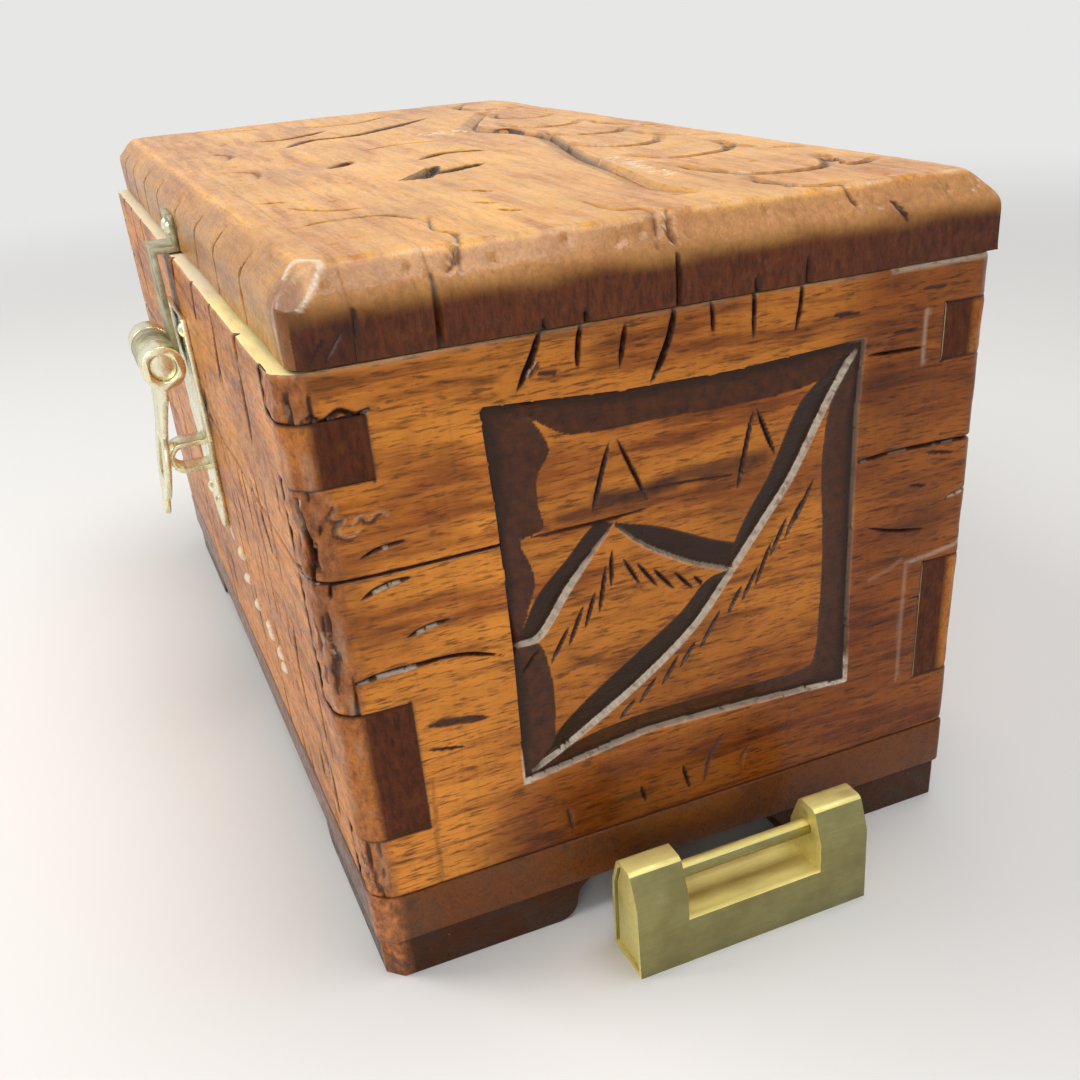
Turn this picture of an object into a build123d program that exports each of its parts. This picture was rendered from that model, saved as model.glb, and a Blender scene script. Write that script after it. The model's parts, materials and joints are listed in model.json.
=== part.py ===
from build123d import *
import os
from math import atan, cos, degrees, radians, sin

# A hinged keepsake box of solid wood: four finger-jointed walls on a bottom board with
# bracket feet, a boarded lid on two butt hinges, a hasp that hangs from the lid over a
# staple on the front, and the loose brass lock that belongs to it, standing beside the
# right end. Millimetres, +Z up, the front faces -Y. The origin is on the floor, under
# the middle of the whole set.

# Case
case_length = 216.0
case_depth = 115.0
wall_height = 87.6
front_thickness = 11.5
back_thickness = 8.5
end_thickness = 9.0
bottom_thickness = 9.6
corner_bevel = 2.6
back_corner_bevel = 0.8

# Finger joints: one tall finger low down and one short finger near the rim
low_finger_rise = 11.9
low_finger_height = 23.8
high_finger_drop = 6.7
high_finger_height = 9.2

# Sunk border of the square carved panel on each end
panel_width = 63.3
panel_height = 64.0
panel_rise = 14.4
panel_from_front = 27.7
panel_border = 4.2
panel_sink = 1.8

# Bracket feet
foot_height = 8.0
foot_thickness = 8.0
foot_setback = 0.6
end_foot_length = 39.3
front_foot_length = 48.0
foot_toe = 7.6
foot_waist = 3.6

# Lid, glued up from three boards
lid_thickness = 12.5
lid_setback = 2.5
lid_overhang = 1.0
lid_bevel_height = 4.6
lid_bevel_width = 4.3
front_strip_width = 9.0
second_strip_width = 11.5
seam_gap = 0.4

# Butt hinges at the back
hinge_inset = 43.0
hinge_length = 25.0
hinge_leaf_width = 6.6
hinge_leaf_thickness = 1.0
hinge_knuckle_radius = 2.3
hinge_pin_radius = 1.15
hinge_side_gap = 0.2
screw_spread = 14.0
screw_inset = 4.1
screw_head_radius = 1.9
screw_head_height = 0.9
screw_shank_radius = 1.0
screw_length = 7.0

# Hasp on the front: a strap from the lid, a rolled barrel and the hanging hasp
barrel_radius = 4.3
barrel_length = 26.0
barrel_drop = 19.9
barrel_bore_radius = 2.7
barrel_pin_recess = 1.4
strap_width = 12.0
strap_thickness = 1.0
strap_standoff = 2.0
strap_rise = 6.6
knuckle_gap = 0.2
hasp_tilt = 9.4
hasp_thickness = 1.2
hasp_length = 34.5
hasp_waist_width = 12.0
hasp_shoulder = 6.4
hasp_eye_drop = 21.8
hasp_round_radius = 9.2
hasp_tab_width = 6.0
slot_clearance = 0.6

# Plate and staple on the case front
plate_width = 25.0
plate_tail_width = 15.0
plate_thickness = 1.0
plate_length = 48.0
plate_top_drop = 11.2
staple_width = 6.0
staple_strip = 1.2
staple_eye = 4.4
staple_reach = 9.0
staple_leg = 7.0
nail_head_radius = 1.5
nail_head_height = 0.8
nail_radius = 0.6
nail_length = 6.0
plate_nail_edge = 2.5
strap_nail_spread = 6.0

# Padlock with a sliding bar
lock_length = 45.0
lock_width = 10.6
lock_shoulder_width = 9.6
lock_top_width = 4.8
lock_height = 20.5
lock_shoulder_height = 14.6
lock_tower = 9.5
lock_trough_height = 9.9
lock_trough_sag = 1.1
lock_rim = 0.9
lock_plate_thickness = 1.4
lock_plate_sink = 0.5
lock_bar_radius = 1.45
lock_bar_height = 15.8
lock_bar_engagement = 6.0
lock_chamber_width = 5.4
lock_chamber_height = 5.0
lock_chamber_rise = 2.2
lock_mouth_width = 3.8
lock_mouth_depth = 2.5
lock_tongue_width = 2.0
lock_tongue_height = 3.6
lock_tongue_length = 27.0
lock_spring_thickness = 0.45
lock_spring_length = 18.0
keyhole_width = 3.0
lock_standoff = 8.3
lock_from_front = 39.0

# Fits
fit = 0.05
wood_fit = 0.1
bearing = 0.3

# Levels
bottom_top = foot_height + bottom_thickness
rim = bottom_top + wall_height
lid_under = rim + seam_gap
barrel_z = rim - barrel_drop
hinge_z = rim + seam_gap / 2

# Distances out from the case's front and back faces
barrel_out = strap_standoff + barrel_radius
hinge_out = hinge_knuckle_radius + hinge_side_gap
tilt = radians(hasp_tilt)
hasp_reach = barrel_out + hasp_length * sin(tilt) + hasp_thickness / 2 * cos(tilt)
hinge_reach = hinge_out + hinge_knuckle_radius

# The set's box is centred on the origin
set_length = lid_overhang + case_length + lock_standoff + lock_width
set_depth = hasp_reach + case_depth + hinge_reach
left = -set_length / 2 + lid_overhang
right = left + case_length
front = -set_depth / 2 + hasp_reach
back = front + case_depth
middle = (left + right) / 2
centre = (front + back) / 2

os.makedirs("parts", exist_ok=True)


def save(part, label):
    """Label a finished piece and write it."""
    part.label = label
    export_step(part, f"parts/{label}.step")


def front_plane(x, z, out=0.0):
    """Upright plane facing the front, its origin this far out from the case front."""
    return Plane(origin=(x, front - out, z), x_dir=(1, 0, 0), z_dir=(0, -1, 0))


def side_plane(x):
    """Upright plane across the case, local x towards the back and local y up."""
    return Plane(origin=(x, 0, 0), x_dir=(0, 1, 0), z_dir=(1, 0, 0))


# Fixings, made at the origin with the head up and the shank down
def screw(gap=0.0):
    """Countersunk wood screw, its head flush with z = 0; gap makes its clearance hole."""
    shank = screw_shank_radius + gap
    with BuildPart() as made:
        with BuildSketch(Plane.XZ):
            with BuildLine():
                Polyline(
                    (0, 0),
                    (screw_head_radius + gap, 0),
                    (shank, -screw_head_height),
                    (shank, screw_shank_radius - screw_length),
                    (0, -screw_length - gap),
                    close=True,
                )
            make_face()
        revolve(axis=Axis.Z)
    return made.part


def nail(gap=0.0):
    """Round-headed pin, its head standing on z = 0; gap makes its clearance hole."""
    shank = nail_radius + gap
    with BuildPart() as made:
        with BuildSketch(Plane.XZ):
            with BuildLine():
                Line((0, nail_head_height), (0, -nail_length - gap))
                Line((0, -nail_length - gap), (shank, nail_radius - nail_length))
                Line((shank, nail_radius - nail_length), (shank, 0))
                Line((shank, 0), (nail_head_radius, 0))
                crown = (nail_head_radius**2 + nail_head_height**2) / (2 * nail_head_height)
                RadiusArc((0, nail_head_height), (nail_head_radius, 0), crown)
            make_face()
        revolve(axis=Axis.Z)
    return made.part


hinge_centres = [left + hinge_inset, right - hinge_inset]
screw_spots = [
    (x + side * screw_spread / 2, back - screw_inset)
    for x in hinge_centres
    for side in (-1, 1)
]
plate_top = rim - plate_top_drop
plate_bottom = plate_top - plate_length
plate_nails = [
    (middle + side * (width / 2 - plate_nail_edge), z)
    for width, z in (
        (plate_width, plate_top - plate_nail_edge),
        (plate_tail_width, plate_bottom + plate_tail_width / 2),
    )
    for side in (-1, 1)
]
strap_nail_z = lid_under + strap_rise / 2 + strap_thickness / 2
strap_nails = [(middle + side * strap_nail_spread / 2, strap_nail_z) for side in (-1, 1)]
staple_z = barrel_z - hasp_eye_drop
staple_height = staple_eye + 2 * staple_strip
into_front = (90, 0, 0)
upwards = (180, 0, 0)


# Outlines of the case and the lid have wide bevels at the front corners, narrow at the back
def bevel_corners():
    """Bevel the corners of the rectangle in the sketch being drawn."""
    for corners, width in (
        (vertices().group_by(Axis.Y)[0], corner_bevel),
        (vertices().group_by(Axis.Y)[-1], back_corner_bevel),
    ):
        chamfer(corners, width)


def case_blank(inset=0.0):
    """Solid of the case's outline, this far inside its faces, from the floor to the rim."""
    with BuildPart() as blank:
        with BuildSketch():
            with Locations((middle, centre)):
                Rectangle(case_length - 2 * inset, case_depth - 2 * inset)
            bevel_corners()
        extrude(amount=rim)
    return blank.part


fingers = (
    (bottom_top + low_finger_rise, low_finger_height),
    (rim - high_finger_drop - high_finger_height, high_finger_height),
)
inner_length = case_length - 2 * end_thickness


def long_wall(outer_face, inwards, thickness):
    """Front or back wall: the board between the ends, with fingers out to both end faces."""
    plane = Plane(origin=(middle, outer_face, 0), x_dir=(1, 0, 0), z_dir=(0, -1, 0))
    with BuildPart() as wall:
        with BuildSketch(plane):
            with Locations((0, bottom_top + wall_height / 2)):
                Rectangle(inner_length, wall_height)
            for low, height in fingers:
                with Locations((0, low + height / 2)):
                    Rectangle(case_length, height)
        extrude(amount=-inwards * thickness)
        add(case_blank(), mode=Mode.INTERSECT)
    return wall.part


with BuildPart() as front_wall:
    add(long_wall(front, 1, front_thickness))
    with BuildSketch(front_plane(middle, staple_z)):
        for side in (-1, 1):
            with Locations((0, side * (staple_eye + staple_strip) / 2)):
                Rectangle(staple_width + 2 * wood_fit, staple_strip + 2 * wood_fit)
    extrude(amount=-staple_leg - wood_fit, mode=Mode.SUBTRACT)
    with Locations(*[Location((x, front - plate_thickness, z), into_front) for x, z in plate_nails]):
        add(nail(fit), mode=Mode.SUBTRACT)
save(front_wall.part, "front_wall")

with BuildPart() as back_wall:
    add(long_wall(back, -1, back_thickness))
    with BuildSketch(Plane.XY.offset(rim)):
        with Locations(*[(x, back - hinge_leaf_width / 2) for x in hinge_centres]):
            Rectangle(hinge_length + 2 * wood_fit, hinge_leaf_width + 2 * wood_fit)
    extrude(amount=-hinge_leaf_thickness, mode=Mode.SUBTRACT)
    with Locations(*[(x, y, rim) for x, y in screw_spots]):
        add(screw(fit), mode=Mode.SUBTRACT)
save(back_wall.part, "back_wall")


def end_wall(outer_face, inwards):
    """End board over the full depth, notched for the fingers, its panel border sunk."""
    with BuildPart() as wall:
        with BuildSketch(side_plane(outer_face)):
            with Locations((centre, bottom_top + wall_height / 2)):
                Rectangle(case_depth, wall_height)
            for low, height in fingers:
                with Locations((front + front_thickness / 2, low + height / 2)):
                    Rectangle(front_thickness, height, mode=Mode.SUBTRACT)
                with Locations((back - back_thickness / 2, low + height / 2)):
                    Rectangle(back_thickness, height, mode=Mode.SUBTRACT)
        extrude(amount=inwards * end_thickness)
        add(case_blank(), mode=Mode.INTERSECT)
        with BuildSketch(side_plane(outer_face)):
            panel_centre = (
                front + panel_from_front + panel_width / 2,
                bottom_top + panel_rise + panel_height / 2,
            )
            with Locations(panel_centre):
                Rectangle(panel_width, panel_height)
                Rectangle(
                    panel_width - 2 * panel_border,
                    panel_height - 2 * panel_border,
                    mode=Mode.SUBTRACT,
                )
        extrude(amount=inwards * panel_sink, mode=Mode.SUBTRACT)
    return wall.part


save(end_wall(right, -1), "right_wall")
save(end_wall(left, 1), "left_wall")

with BuildPart() as bottom_board:
    with BuildSketch(Plane.XY.offset(foot_height)):
        with Locations((middle, centre)):
            Rectangle(case_length, case_depth)
    extrude(amount=bottom_thickness)
    add(case_blank(), mode=Mode.INTERSECT)
save(bottom_board.part, "bottom_board")


def bracket(corner, along, inward, length):
    """One bracket of a foot: a board on edge, mitred at the corner, with an ogee end."""
    t = foot_thickness
    tip = corner + along * length
    plan = [corner, tip, tip + inward * t, corner + (along + inward) * t]
    with BuildPart() as board:
        with BuildSketch():
            with BuildLine():
                Polyline(*plan, close=True)
            make_face()
        extrude(amount=foot_height)
        with BuildSketch(Plane(origin=corner, x_dir=along, z_dir=along.cross(Vector(0, 0, 1)))):
            with BuildLine():
                Line((0, 0), (length - foot_toe, 0))
                turn = (length - foot_toe / 2, foot_waist)
                swell = TangentArc((length - foot_toe, 0), turn, tangent=(1, 0))
                TangentArc(turn, (length, foot_height), tangent=swell % 1)
                Line((length, foot_height), (0, foot_height))
                Line((0, foot_height), (0, 0))
            make_face()
        extrude(amount=2 * t, both=True, mode=Mode.INTERSECT)
        add(case_blank(foot_setback), mode=Mode.INTERSECT)
    return board.part


for end_name, x, x_in in (("left", left + foot_setback, 1), ("right", right - foot_setback, -1)):
    for face_name, y, y_in in (("front", front + foot_setback, 1), ("back", back - foot_setback, -1)):
        foot_corner = Vector(x, y, 0)
        run, cross = Vector(x_in, 0, 0), Vector(0, y_in, 0)
        save(bracket(foot_corner, run, cross, front_foot_length), f"foot_{face_name}_{end_name}_long")
        save(bracket(foot_corner, cross, run, end_foot_length), f"foot_{face_name}_{end_name}_short")

# Lid
lid_front = front + lid_setback
lid_depth = back - lid_front
strip_joint = lid_front + front_strip_width
board_joint = strip_joint + second_strip_width

with BuildPart() as lid_blank:
    with BuildSketch(Plane.XY.offset(lid_under)):
        with Locations((middle, lid_front + lid_depth / 2)):
            Rectangle(case_length + 2 * lid_overhang, lid_depth)
        bevel_corners()
    extrude(amount=lid_thickness - lid_bevel_height)
    extrude(
        faces().sort_by(Axis.Z)[-1],
        amount=lid_bevel_height,
        taper=degrees(atan(lid_bevel_width / lid_bevel_height)),
    )

with BuildPart() as lid_front_strip:
    add(lid_blank.part)
    split(bisect_by=Plane.XZ.offset(-strip_joint), keep=Keep.TOP)
    with Locations(*[Location((x, lid_front - strap_thickness, z), into_front) for x, z in strap_nails]):
        add(nail(fit), mode=Mode.SUBTRACT)
save(lid_front_strip.part, "lid_front_strip")

with BuildPart() as lid_second_strip:
    add(lid_blank.part)
    split(bisect_by=Plane.XZ.offset(-strip_joint), keep=Keep.BOTTOM)
    split(bisect_by=Plane.XZ.offset(-board_joint), keep=Keep.TOP)
save(lid_second_strip.part, "lid_second_strip")

with BuildPart() as lid_main_board:
    add(lid_blank.part)
    split(bisect_by=Plane.XZ.offset(-board_joint), keep=Keep.BOTTOM)
    with BuildSketch(Plane.XY.offset(lid_under)):
        with Locations(*[(x, back - hinge_leaf_width / 2) for x in hinge_centres]):
            Rectangle(hinge_length + 2 * wood_fit, hinge_leaf_width + 2 * wood_fit)
    extrude(amount=hinge_leaf_thickness, mode=Mode.SUBTRACT)
    with Locations(*[Location((x, y, lid_under), upwards) for x, y in screw_spots]):
        add(screw(fit), mode=Mode.SUBTRACT)
save(lid_main_board.part, "lid_main_board")

# Hinges: the case leaf has the two outer knuckles, the lid leaf the middle one
hinge_axis_y = back + hinge_out
knuckle_length = hinge_length / 3
outer_knuckles = [side * (hinge_length - knuckle_length) / 2 for side in (-1, 1)]


def hinge_leaf(x, face, up, knuckles, head_rotation):
    """Leaf let into the wood at x, with knuckles at these places along the pin."""
    length = knuckle_length - knuckle_gap
    with BuildPart() as leaf:
        with BuildSketch(Plane.XY.offset(face)):
            with Locations((x, back - hinge_leaf_width / 2)):
                Rectangle(hinge_length, hinge_leaf_width)
            for k in knuckles:
                with Locations((x + k, back + hinge_out / 2)):
                    Rectangle(length, hinge_out)
        extrude(amount=up * hinge_leaf_thickness)
        for k in knuckles:
            with BuildSketch(side_plane(x + k - length / 2)):
                with Locations((hinge_axis_y, hinge_z)):
                    Circle(hinge_knuckle_radius)
            extrude(amount=length)
        with BuildSketch(side_plane(x - hinge_length)):
            with Locations((hinge_axis_y, hinge_z)):
                Circle(hinge_pin_radius + fit)
        extrude(amount=2 * hinge_length, mode=Mode.SUBTRACT)
        spots = [(sx, sy) for sx, sy in screw_spots if abs(sx - x) < hinge_length / 2]
        with Locations(*[Location((sx, sy, face), head_rotation) for sx, sy in spots]):
            add(screw(fit), mode=Mode.SUBTRACT)
    return leaf.part


for side_name, x in zip(("left", "right"), hinge_centres):
    save(hinge_leaf(x, rim, -1, outer_knuckles, (0, 0, 0)), f"hinge_{side_name}_case_leaf")
    save(hinge_leaf(x, lid_under, 1, [0.0], upwards), f"hinge_{side_name}_lid_leaf")
    with BuildPart() as hinge_pin:
        with BuildSketch(side_plane(x - hinge_length / 2)):
            with Locations((hinge_axis_y, hinge_z)):
                Circle(hinge_pin_radius)
        extrude(amount=hinge_length)
    save(hinge_pin.part, f"hinge_{side_name}_pin")

with BuildPart() as case_hinge_screws:
    with Locations(*[(x, y, rim) for x, y in screw_spots]):
        add(screw())
save(case_hinge_screws.part, "case_hinge_screws")

with BuildPart() as lid_hinge_screws:
    with Locations(*[Location((x, y, lid_under), upwards) for x, y in screw_spots]):
        add(screw())
save(lid_hinge_screws.part, "lid_hinge_screws")

# Plate on the case front: square at the top, a round tail below, pierced for the staple
with BuildPart() as latch_plate:
    with BuildSketch(front_plane(middle, plate_bottom)):
        tail = plate_tail_width / 2
        shoulder = plate_length - plate_width
        with BuildLine():
            Line((-plate_width / 2, plate_length), (plate_width / 2, plate_length))
            Line((plate_width / 2, plate_length), (plate_width / 2, shoulder))
            TangentArc((tail, tail), (plate_width / 2, shoulder), tangent=(0, 1))
            ThreePointArc((tail, tail), (0, 0), (-tail, tail))
            TangentArc((-tail, tail), (-plate_width / 2, shoulder), tangent=(0, 1))
            Line((-plate_width / 2, shoulder), (-plate_width / 2, plate_length))
        make_face()
        with Locations((0, staple_z - plate_bottom)):
            Rectangle(staple_width + 2 * fit, staple_height + 2 * fit, mode=Mode.SUBTRACT)
            Rectangle(staple_width + 2 * fit, staple_eye - 2 * fit)
    extrude(amount=plate_thickness)
    with Locations(*[Location((x, front - plate_thickness, z), into_front) for x, z in plate_nails]):
        add(nail(fit), mode=Mode.SUBTRACT)
save(latch_plate.part, "latch_plate")

with BuildPart() as latch_plate_nails:
    with Locations(*[Location((x, front - plate_thickness, z), into_front) for x, z in plate_nails]):
        add(nail())
save(latch_plate_nails.part, "latch_plate_nails")


def staple_outline(height):
    """Closed outline of a U lying on its side: straight legs and a half-round nose."""
    nose = -front + staple_reach - staple_height / 2
    tip = nose + height / 2
    with BuildLine() as outline:
        Line((front + staple_leg, staple_z + height / 2), (-nose, staple_z + height / 2))
        ThreePointArc(
            (-nose, staple_z + height / 2), (-tip, staple_z), (-nose, staple_z - height / 2)
        )
        Line((-nose, staple_z - height / 2), (front + staple_leg, staple_z - height / 2))
        Line((front + staple_leg, staple_z - height / 2), (front + staple_leg, staple_z + height / 2))
    return outline.line


with BuildPart() as latch_staple:
    with BuildSketch(side_plane(middle - staple_width / 2)):
        make_face(staple_outline(staple_height).edges())
        make_face(staple_outline(staple_eye).edges(), mode=Mode.SUBTRACT)
    extrude(amount=staple_width)
save(latch_staple.part, "latch_staple")

# Strap from the lid: nailed to the lid's front, cranked out over the rim, rolled below
strap_low = lid_front - strap_thickness
strap_foot = rim + bearing
with BuildPart() as hasp_strap:
    with BuildSketch(side_plane(middle - strap_width / 2)):
        with BuildLine():
            Polyline(
                (front - strap_standoff, barrel_z),
                (front - strap_standoff, strap_foot),
                (lid_front, strap_foot),
                (lid_front, lid_under + strap_rise),
                (strap_low, lid_under + strap_rise),
                (strap_low, strap_foot + strap_thickness),
                (front - strap_standoff - strap_thickness, strap_foot + strap_thickness),
                (front - strap_standoff - strap_thickness, barrel_z),
                close=True,
            )
        make_face()
        with Locations((front - barrel_out, barrel_z)):
            Circle(barrel_radius)
            Circle(barrel_bore_radius, mode=Mode.SUBTRACT)
    extrude(amount=strap_width)
    with Locations(*[Location((x, strap_low, z), into_front) for x, z in strap_nails]):
        add(nail(fit), mode=Mode.SUBTRACT)
save(hasp_strap.part, "hasp_strap")

with BuildPart() as hasp_strap_nails:
    with Locations(*[Location((x, strap_low, z), into_front) for x, z in strap_nails]):
        add(nail())
save(hasp_strap_nails.part, "hasp_strap_nails")

with BuildPart() as hasp_pin:
    with BuildSketch(side_plane(middle - barrel_length / 2 + barrel_pin_recess)):
        with Locations((front - barrel_out, barrel_z)):
            Circle(barrel_bore_radius - fit)
    extrude(amount=barrel_length - 2 * barrel_pin_recess)
save(hasp_pin.part, "hasp_pin")

# Hasp: knuckles outside the strap's, shoulders, a waist, a round with the slot, a tab
hasp_plane = Plane(
    origin=(middle, front - barrel_out, barrel_z),
    x_dir=(1, 0, 0),
    z_dir=(0, -cos(tilt), sin(tilt)),
)
knuckle_start = strap_width / 2 + knuckle_gap
slot_height = staple_height + 2 * slot_clearance
with BuildPart() as hasp:
    with BuildSketch(hasp_plane):
        waist = hasp_waist_width / 2
        with BuildLine():
            Line((-barrel_length / 2, 0), (barrel_length / 2, 0))
            Line((barrel_length / 2, 0), (barrel_length / 2, -hasp_shoulder))
            TangentArc(
                (waist, -hasp_eye_drop), (barrel_length / 2, -hasp_shoulder), tangent=(0, 1)
            )
            Line((waist, -hasp_eye_drop), (-waist, -hasp_eye_drop))
            TangentArc(
                (-waist, -hasp_eye_drop), (-barrel_length / 2, -hasp_shoulder), tangent=(0, 1)
            )
            Line((-barrel_length / 2, -hasp_shoulder), (-barrel_length / 2, 0))
        make_face()
        with Locations((0, -hasp_eye_drop)):
            Circle(hasp_round_radius)
        tab = hasp_tab_width / 2
        with Locations((0, (tab - hasp_length - hasp_eye_drop) / 2)):
            Rectangle(hasp_tab_width, hasp_length - tab - hasp_eye_drop)
        with Locations((0, tab - hasp_length)):
            Circle(tab)
        Rectangle(
            2 * knuckle_start, 2 * (barrel_radius + bearing), mode=Mode.SUBTRACT
        )
        with Locations((0, -hasp_eye_drop)):
            Rectangle(staple_width + 2 * slot_clearance, slot_height, mode=Mode.SUBTRACT)
    extrude(amount=hasp_thickness / 2, both=True)
    for side in (-1, 1):
        with BuildSketch(side_plane(middle + side * knuckle_start)):
            with Locations((front - barrel_out, barrel_z)):
                Circle(barrel_radius)
        extrude(amount=side * (barrel_length / 2 - knuckle_start))
    with BuildSketch(side_plane(middle - barrel_length)):
        with Locations((front - barrel_out, barrel_z)):
            Circle(barrel_bore_radius)
    extrude(amount=2 * barrel_length, mode=Mode.SUBTRACT)
save(hasp.part, "hasp")

# Padlock
lock_x = right + lock_standoff + lock_width / 2
lock_front = front + lock_from_front
lock_back = lock_front + lock_length
lock_bay = lock_length - 2 * lock_tower
plate_recess = lock_plate_thickness + lock_plate_sink


def lock_plane(y):
    """Upright plane across the padlock at this y, its origin on the floor."""
    return Plane(origin=(lock_x, y, 0), x_dir=(1, 0, 0), z_dir=(0, -1, 0))


def lock_section(inset=0.0):
    """House-shaped section of the padlock, this far inside its faces."""
    with BuildSketch() as section:
        with BuildLine():
            Polyline(
                (-lock_width / 2, 0),
                (lock_width / 2, 0),
                (lock_shoulder_width / 2, lock_shoulder_height),
                (lock_top_width / 2, lock_height),
                (-lock_top_width / 2, lock_height),
                (-lock_shoulder_width / 2, lock_shoulder_height),
                close=True,
            )
        make_face()
        if inset > 0:
            offset(amount=-inset, kind=Kind.INTERSECTION, mode=Mode.REPLACE)
    return section.sketch


tongue_z = lock_chamber_rise + lock_chamber_height / 2
with BuildPart() as padlock_case:
    with BuildSketch(lock_plane(lock_front)):
        add(lock_section())
    extrude(amount=-lock_length)
    with BuildSketch(lock_plane(lock_front + lock_tower)):
        half = lock_width
        with BuildLine():
            ThreePointArc(
                (-half, lock_trough_height),
                (0, lock_trough_height - lock_trough_sag),
                (half, lock_trough_height),
            )
            Line((half, lock_trough_height), (half, 2 * lock_height))
            Line((half, 2 * lock_height), (-half, 2 * lock_height))
            Line((-half, 2 * lock_height), (-half, lock_trough_height))
        make_face()
    extrude(amount=-lock_bay, mode=Mode.SUBTRACT)
    for y, into in ((lock_front, -1), (lock_back, 1)):
        with BuildSketch(lock_plane(y)):
            add(lock_section(lock_rim))
        extrude(amount=into * plate_recess, mode=Mode.SUBTRACT)
    with BuildSketch(lock_plane(lock_front)):
        with Locations((0, lock_bar_height)):
            Circle(lock_bar_radius + fit)
    extrude(amount=-(lock_tower + lock_bay + lock_bar_engagement + bearing), mode=Mode.SUBTRACT)
    with BuildSketch(lock_plane(lock_front)):
        with Locations((0, tongue_z)):
            Rectangle(lock_mouth_width, lock_chamber_height)
    extrude(amount=-(lock_length - plate_recess), mode=Mode.SUBTRACT)
    with BuildSketch(lock_plane(lock_front + plate_recess + lock_mouth_depth)):
        with Locations((0, tongue_z)):
            Rectangle(lock_chamber_width, lock_chamber_height)
    extrude(amount=-(lock_length - 2 * plate_recess - lock_mouth_depth), mode=Mode.SUBTRACT)
save(padlock_case.part, "padlock_case")

with BuildPart() as padlock_key_plate:
    with BuildSketch(lock_plane(lock_back - lock_plate_sink)):
        add(lock_section(lock_rim + fit))
        with Locations((0, tongue_z)):
            SlotOverall(lock_chamber_height, keyhole_width, rotation=90, mode=Mode.SUBTRACT)
    extrude(amount=lock_plate_thickness)
save(padlock_key_plate.part, "padlock_key_plate")

# The bar, its end plate and the tongue that slides in the case are one casting
bar_length = lock_tower + lock_bay + lock_bar_engagement - lock_plate_sink
with BuildPart() as padlock_bar:
    with BuildSketch(lock_plane(lock_front + lock_plate_sink)):
        add(lock_section(lock_rim + fit))
    extrude(amount=-lock_plate_thickness)
    with BuildSketch(lock_plane(lock_front + lock_plate_sink)):
        with Locations((0, lock_bar_height)):
            Circle(lock_bar_radius)
    extrude(amount=-bar_length)
    with BuildSketch(lock_plane(lock_front + lock_plate_sink)):
        with Locations((0, tongue_z)):
            Rectangle(lock_tongue_width, lock_tongue_height)
    extrude(amount=-lock_tongue_length)
save(padlock_bar.part, "padlock_bar")

with BuildPart() as padlock_springs:
    spring_end = lock_front + lock_plate_sink + lock_tongue_length
    with BuildSketch(lock_plane(spring_end)):
        for side in (-1, 1):
            with Locations((side * (lock_tongue_width + lock_spring_thickness) / 2, tongue_z)):
                Rectangle(lock_spring_thickness, lock_tongue_height)
    extrude(amount=lock_spring_length)
save(padlock_springs.part, "padlock_springs")
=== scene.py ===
"""Carved and varnished keepsake box with a brass hasp and its loose sliding-bar lock.

The walls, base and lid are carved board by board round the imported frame, the brass is
given worn edges, and the set stands on a pale floor. Lengths in the pieces are in
millimetres until a piece is finished, which puts it in metres.
"""

import json
import math

import bmesh
import bpy
import numpy as np
from mathutils import Matrix, Vector

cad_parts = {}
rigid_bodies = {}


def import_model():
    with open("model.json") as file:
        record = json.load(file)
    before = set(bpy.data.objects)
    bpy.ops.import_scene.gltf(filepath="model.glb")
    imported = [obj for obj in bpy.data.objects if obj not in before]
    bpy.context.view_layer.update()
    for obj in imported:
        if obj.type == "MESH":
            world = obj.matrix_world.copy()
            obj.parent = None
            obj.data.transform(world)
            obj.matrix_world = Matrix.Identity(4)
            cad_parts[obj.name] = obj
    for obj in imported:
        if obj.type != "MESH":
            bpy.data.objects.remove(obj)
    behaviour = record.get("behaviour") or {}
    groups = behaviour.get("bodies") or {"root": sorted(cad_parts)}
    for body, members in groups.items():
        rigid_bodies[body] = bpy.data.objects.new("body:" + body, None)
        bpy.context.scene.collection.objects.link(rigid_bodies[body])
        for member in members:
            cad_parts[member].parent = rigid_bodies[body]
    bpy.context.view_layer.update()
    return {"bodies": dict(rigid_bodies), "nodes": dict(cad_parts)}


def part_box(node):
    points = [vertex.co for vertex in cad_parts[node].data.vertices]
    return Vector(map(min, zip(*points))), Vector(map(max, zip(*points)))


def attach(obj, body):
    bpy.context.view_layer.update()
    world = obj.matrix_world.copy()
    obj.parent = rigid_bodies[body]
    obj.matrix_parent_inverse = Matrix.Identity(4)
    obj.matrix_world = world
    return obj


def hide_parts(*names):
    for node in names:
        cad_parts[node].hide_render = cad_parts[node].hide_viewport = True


bl_info = {
    "name": "Carved Keepsake Box",
    "version": (1, 0, 0),
    "blender": (4, 5, 0),
    "location": "View3D > Sidebar > Keepsake Box",
    "description": "Carved, varnished wooden box with brass fittings",
    "category": "Add Mesh",
}

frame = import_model()

MM = 0.001
LOW, HIGH = 0, 1
X, Y, Z = 0, 1, 2


def reach(node, end, axis):
    """Lowest or highest place of a node of the frame along an axis, in millimetres."""
    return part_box(node)[end][axis] / MM


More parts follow.
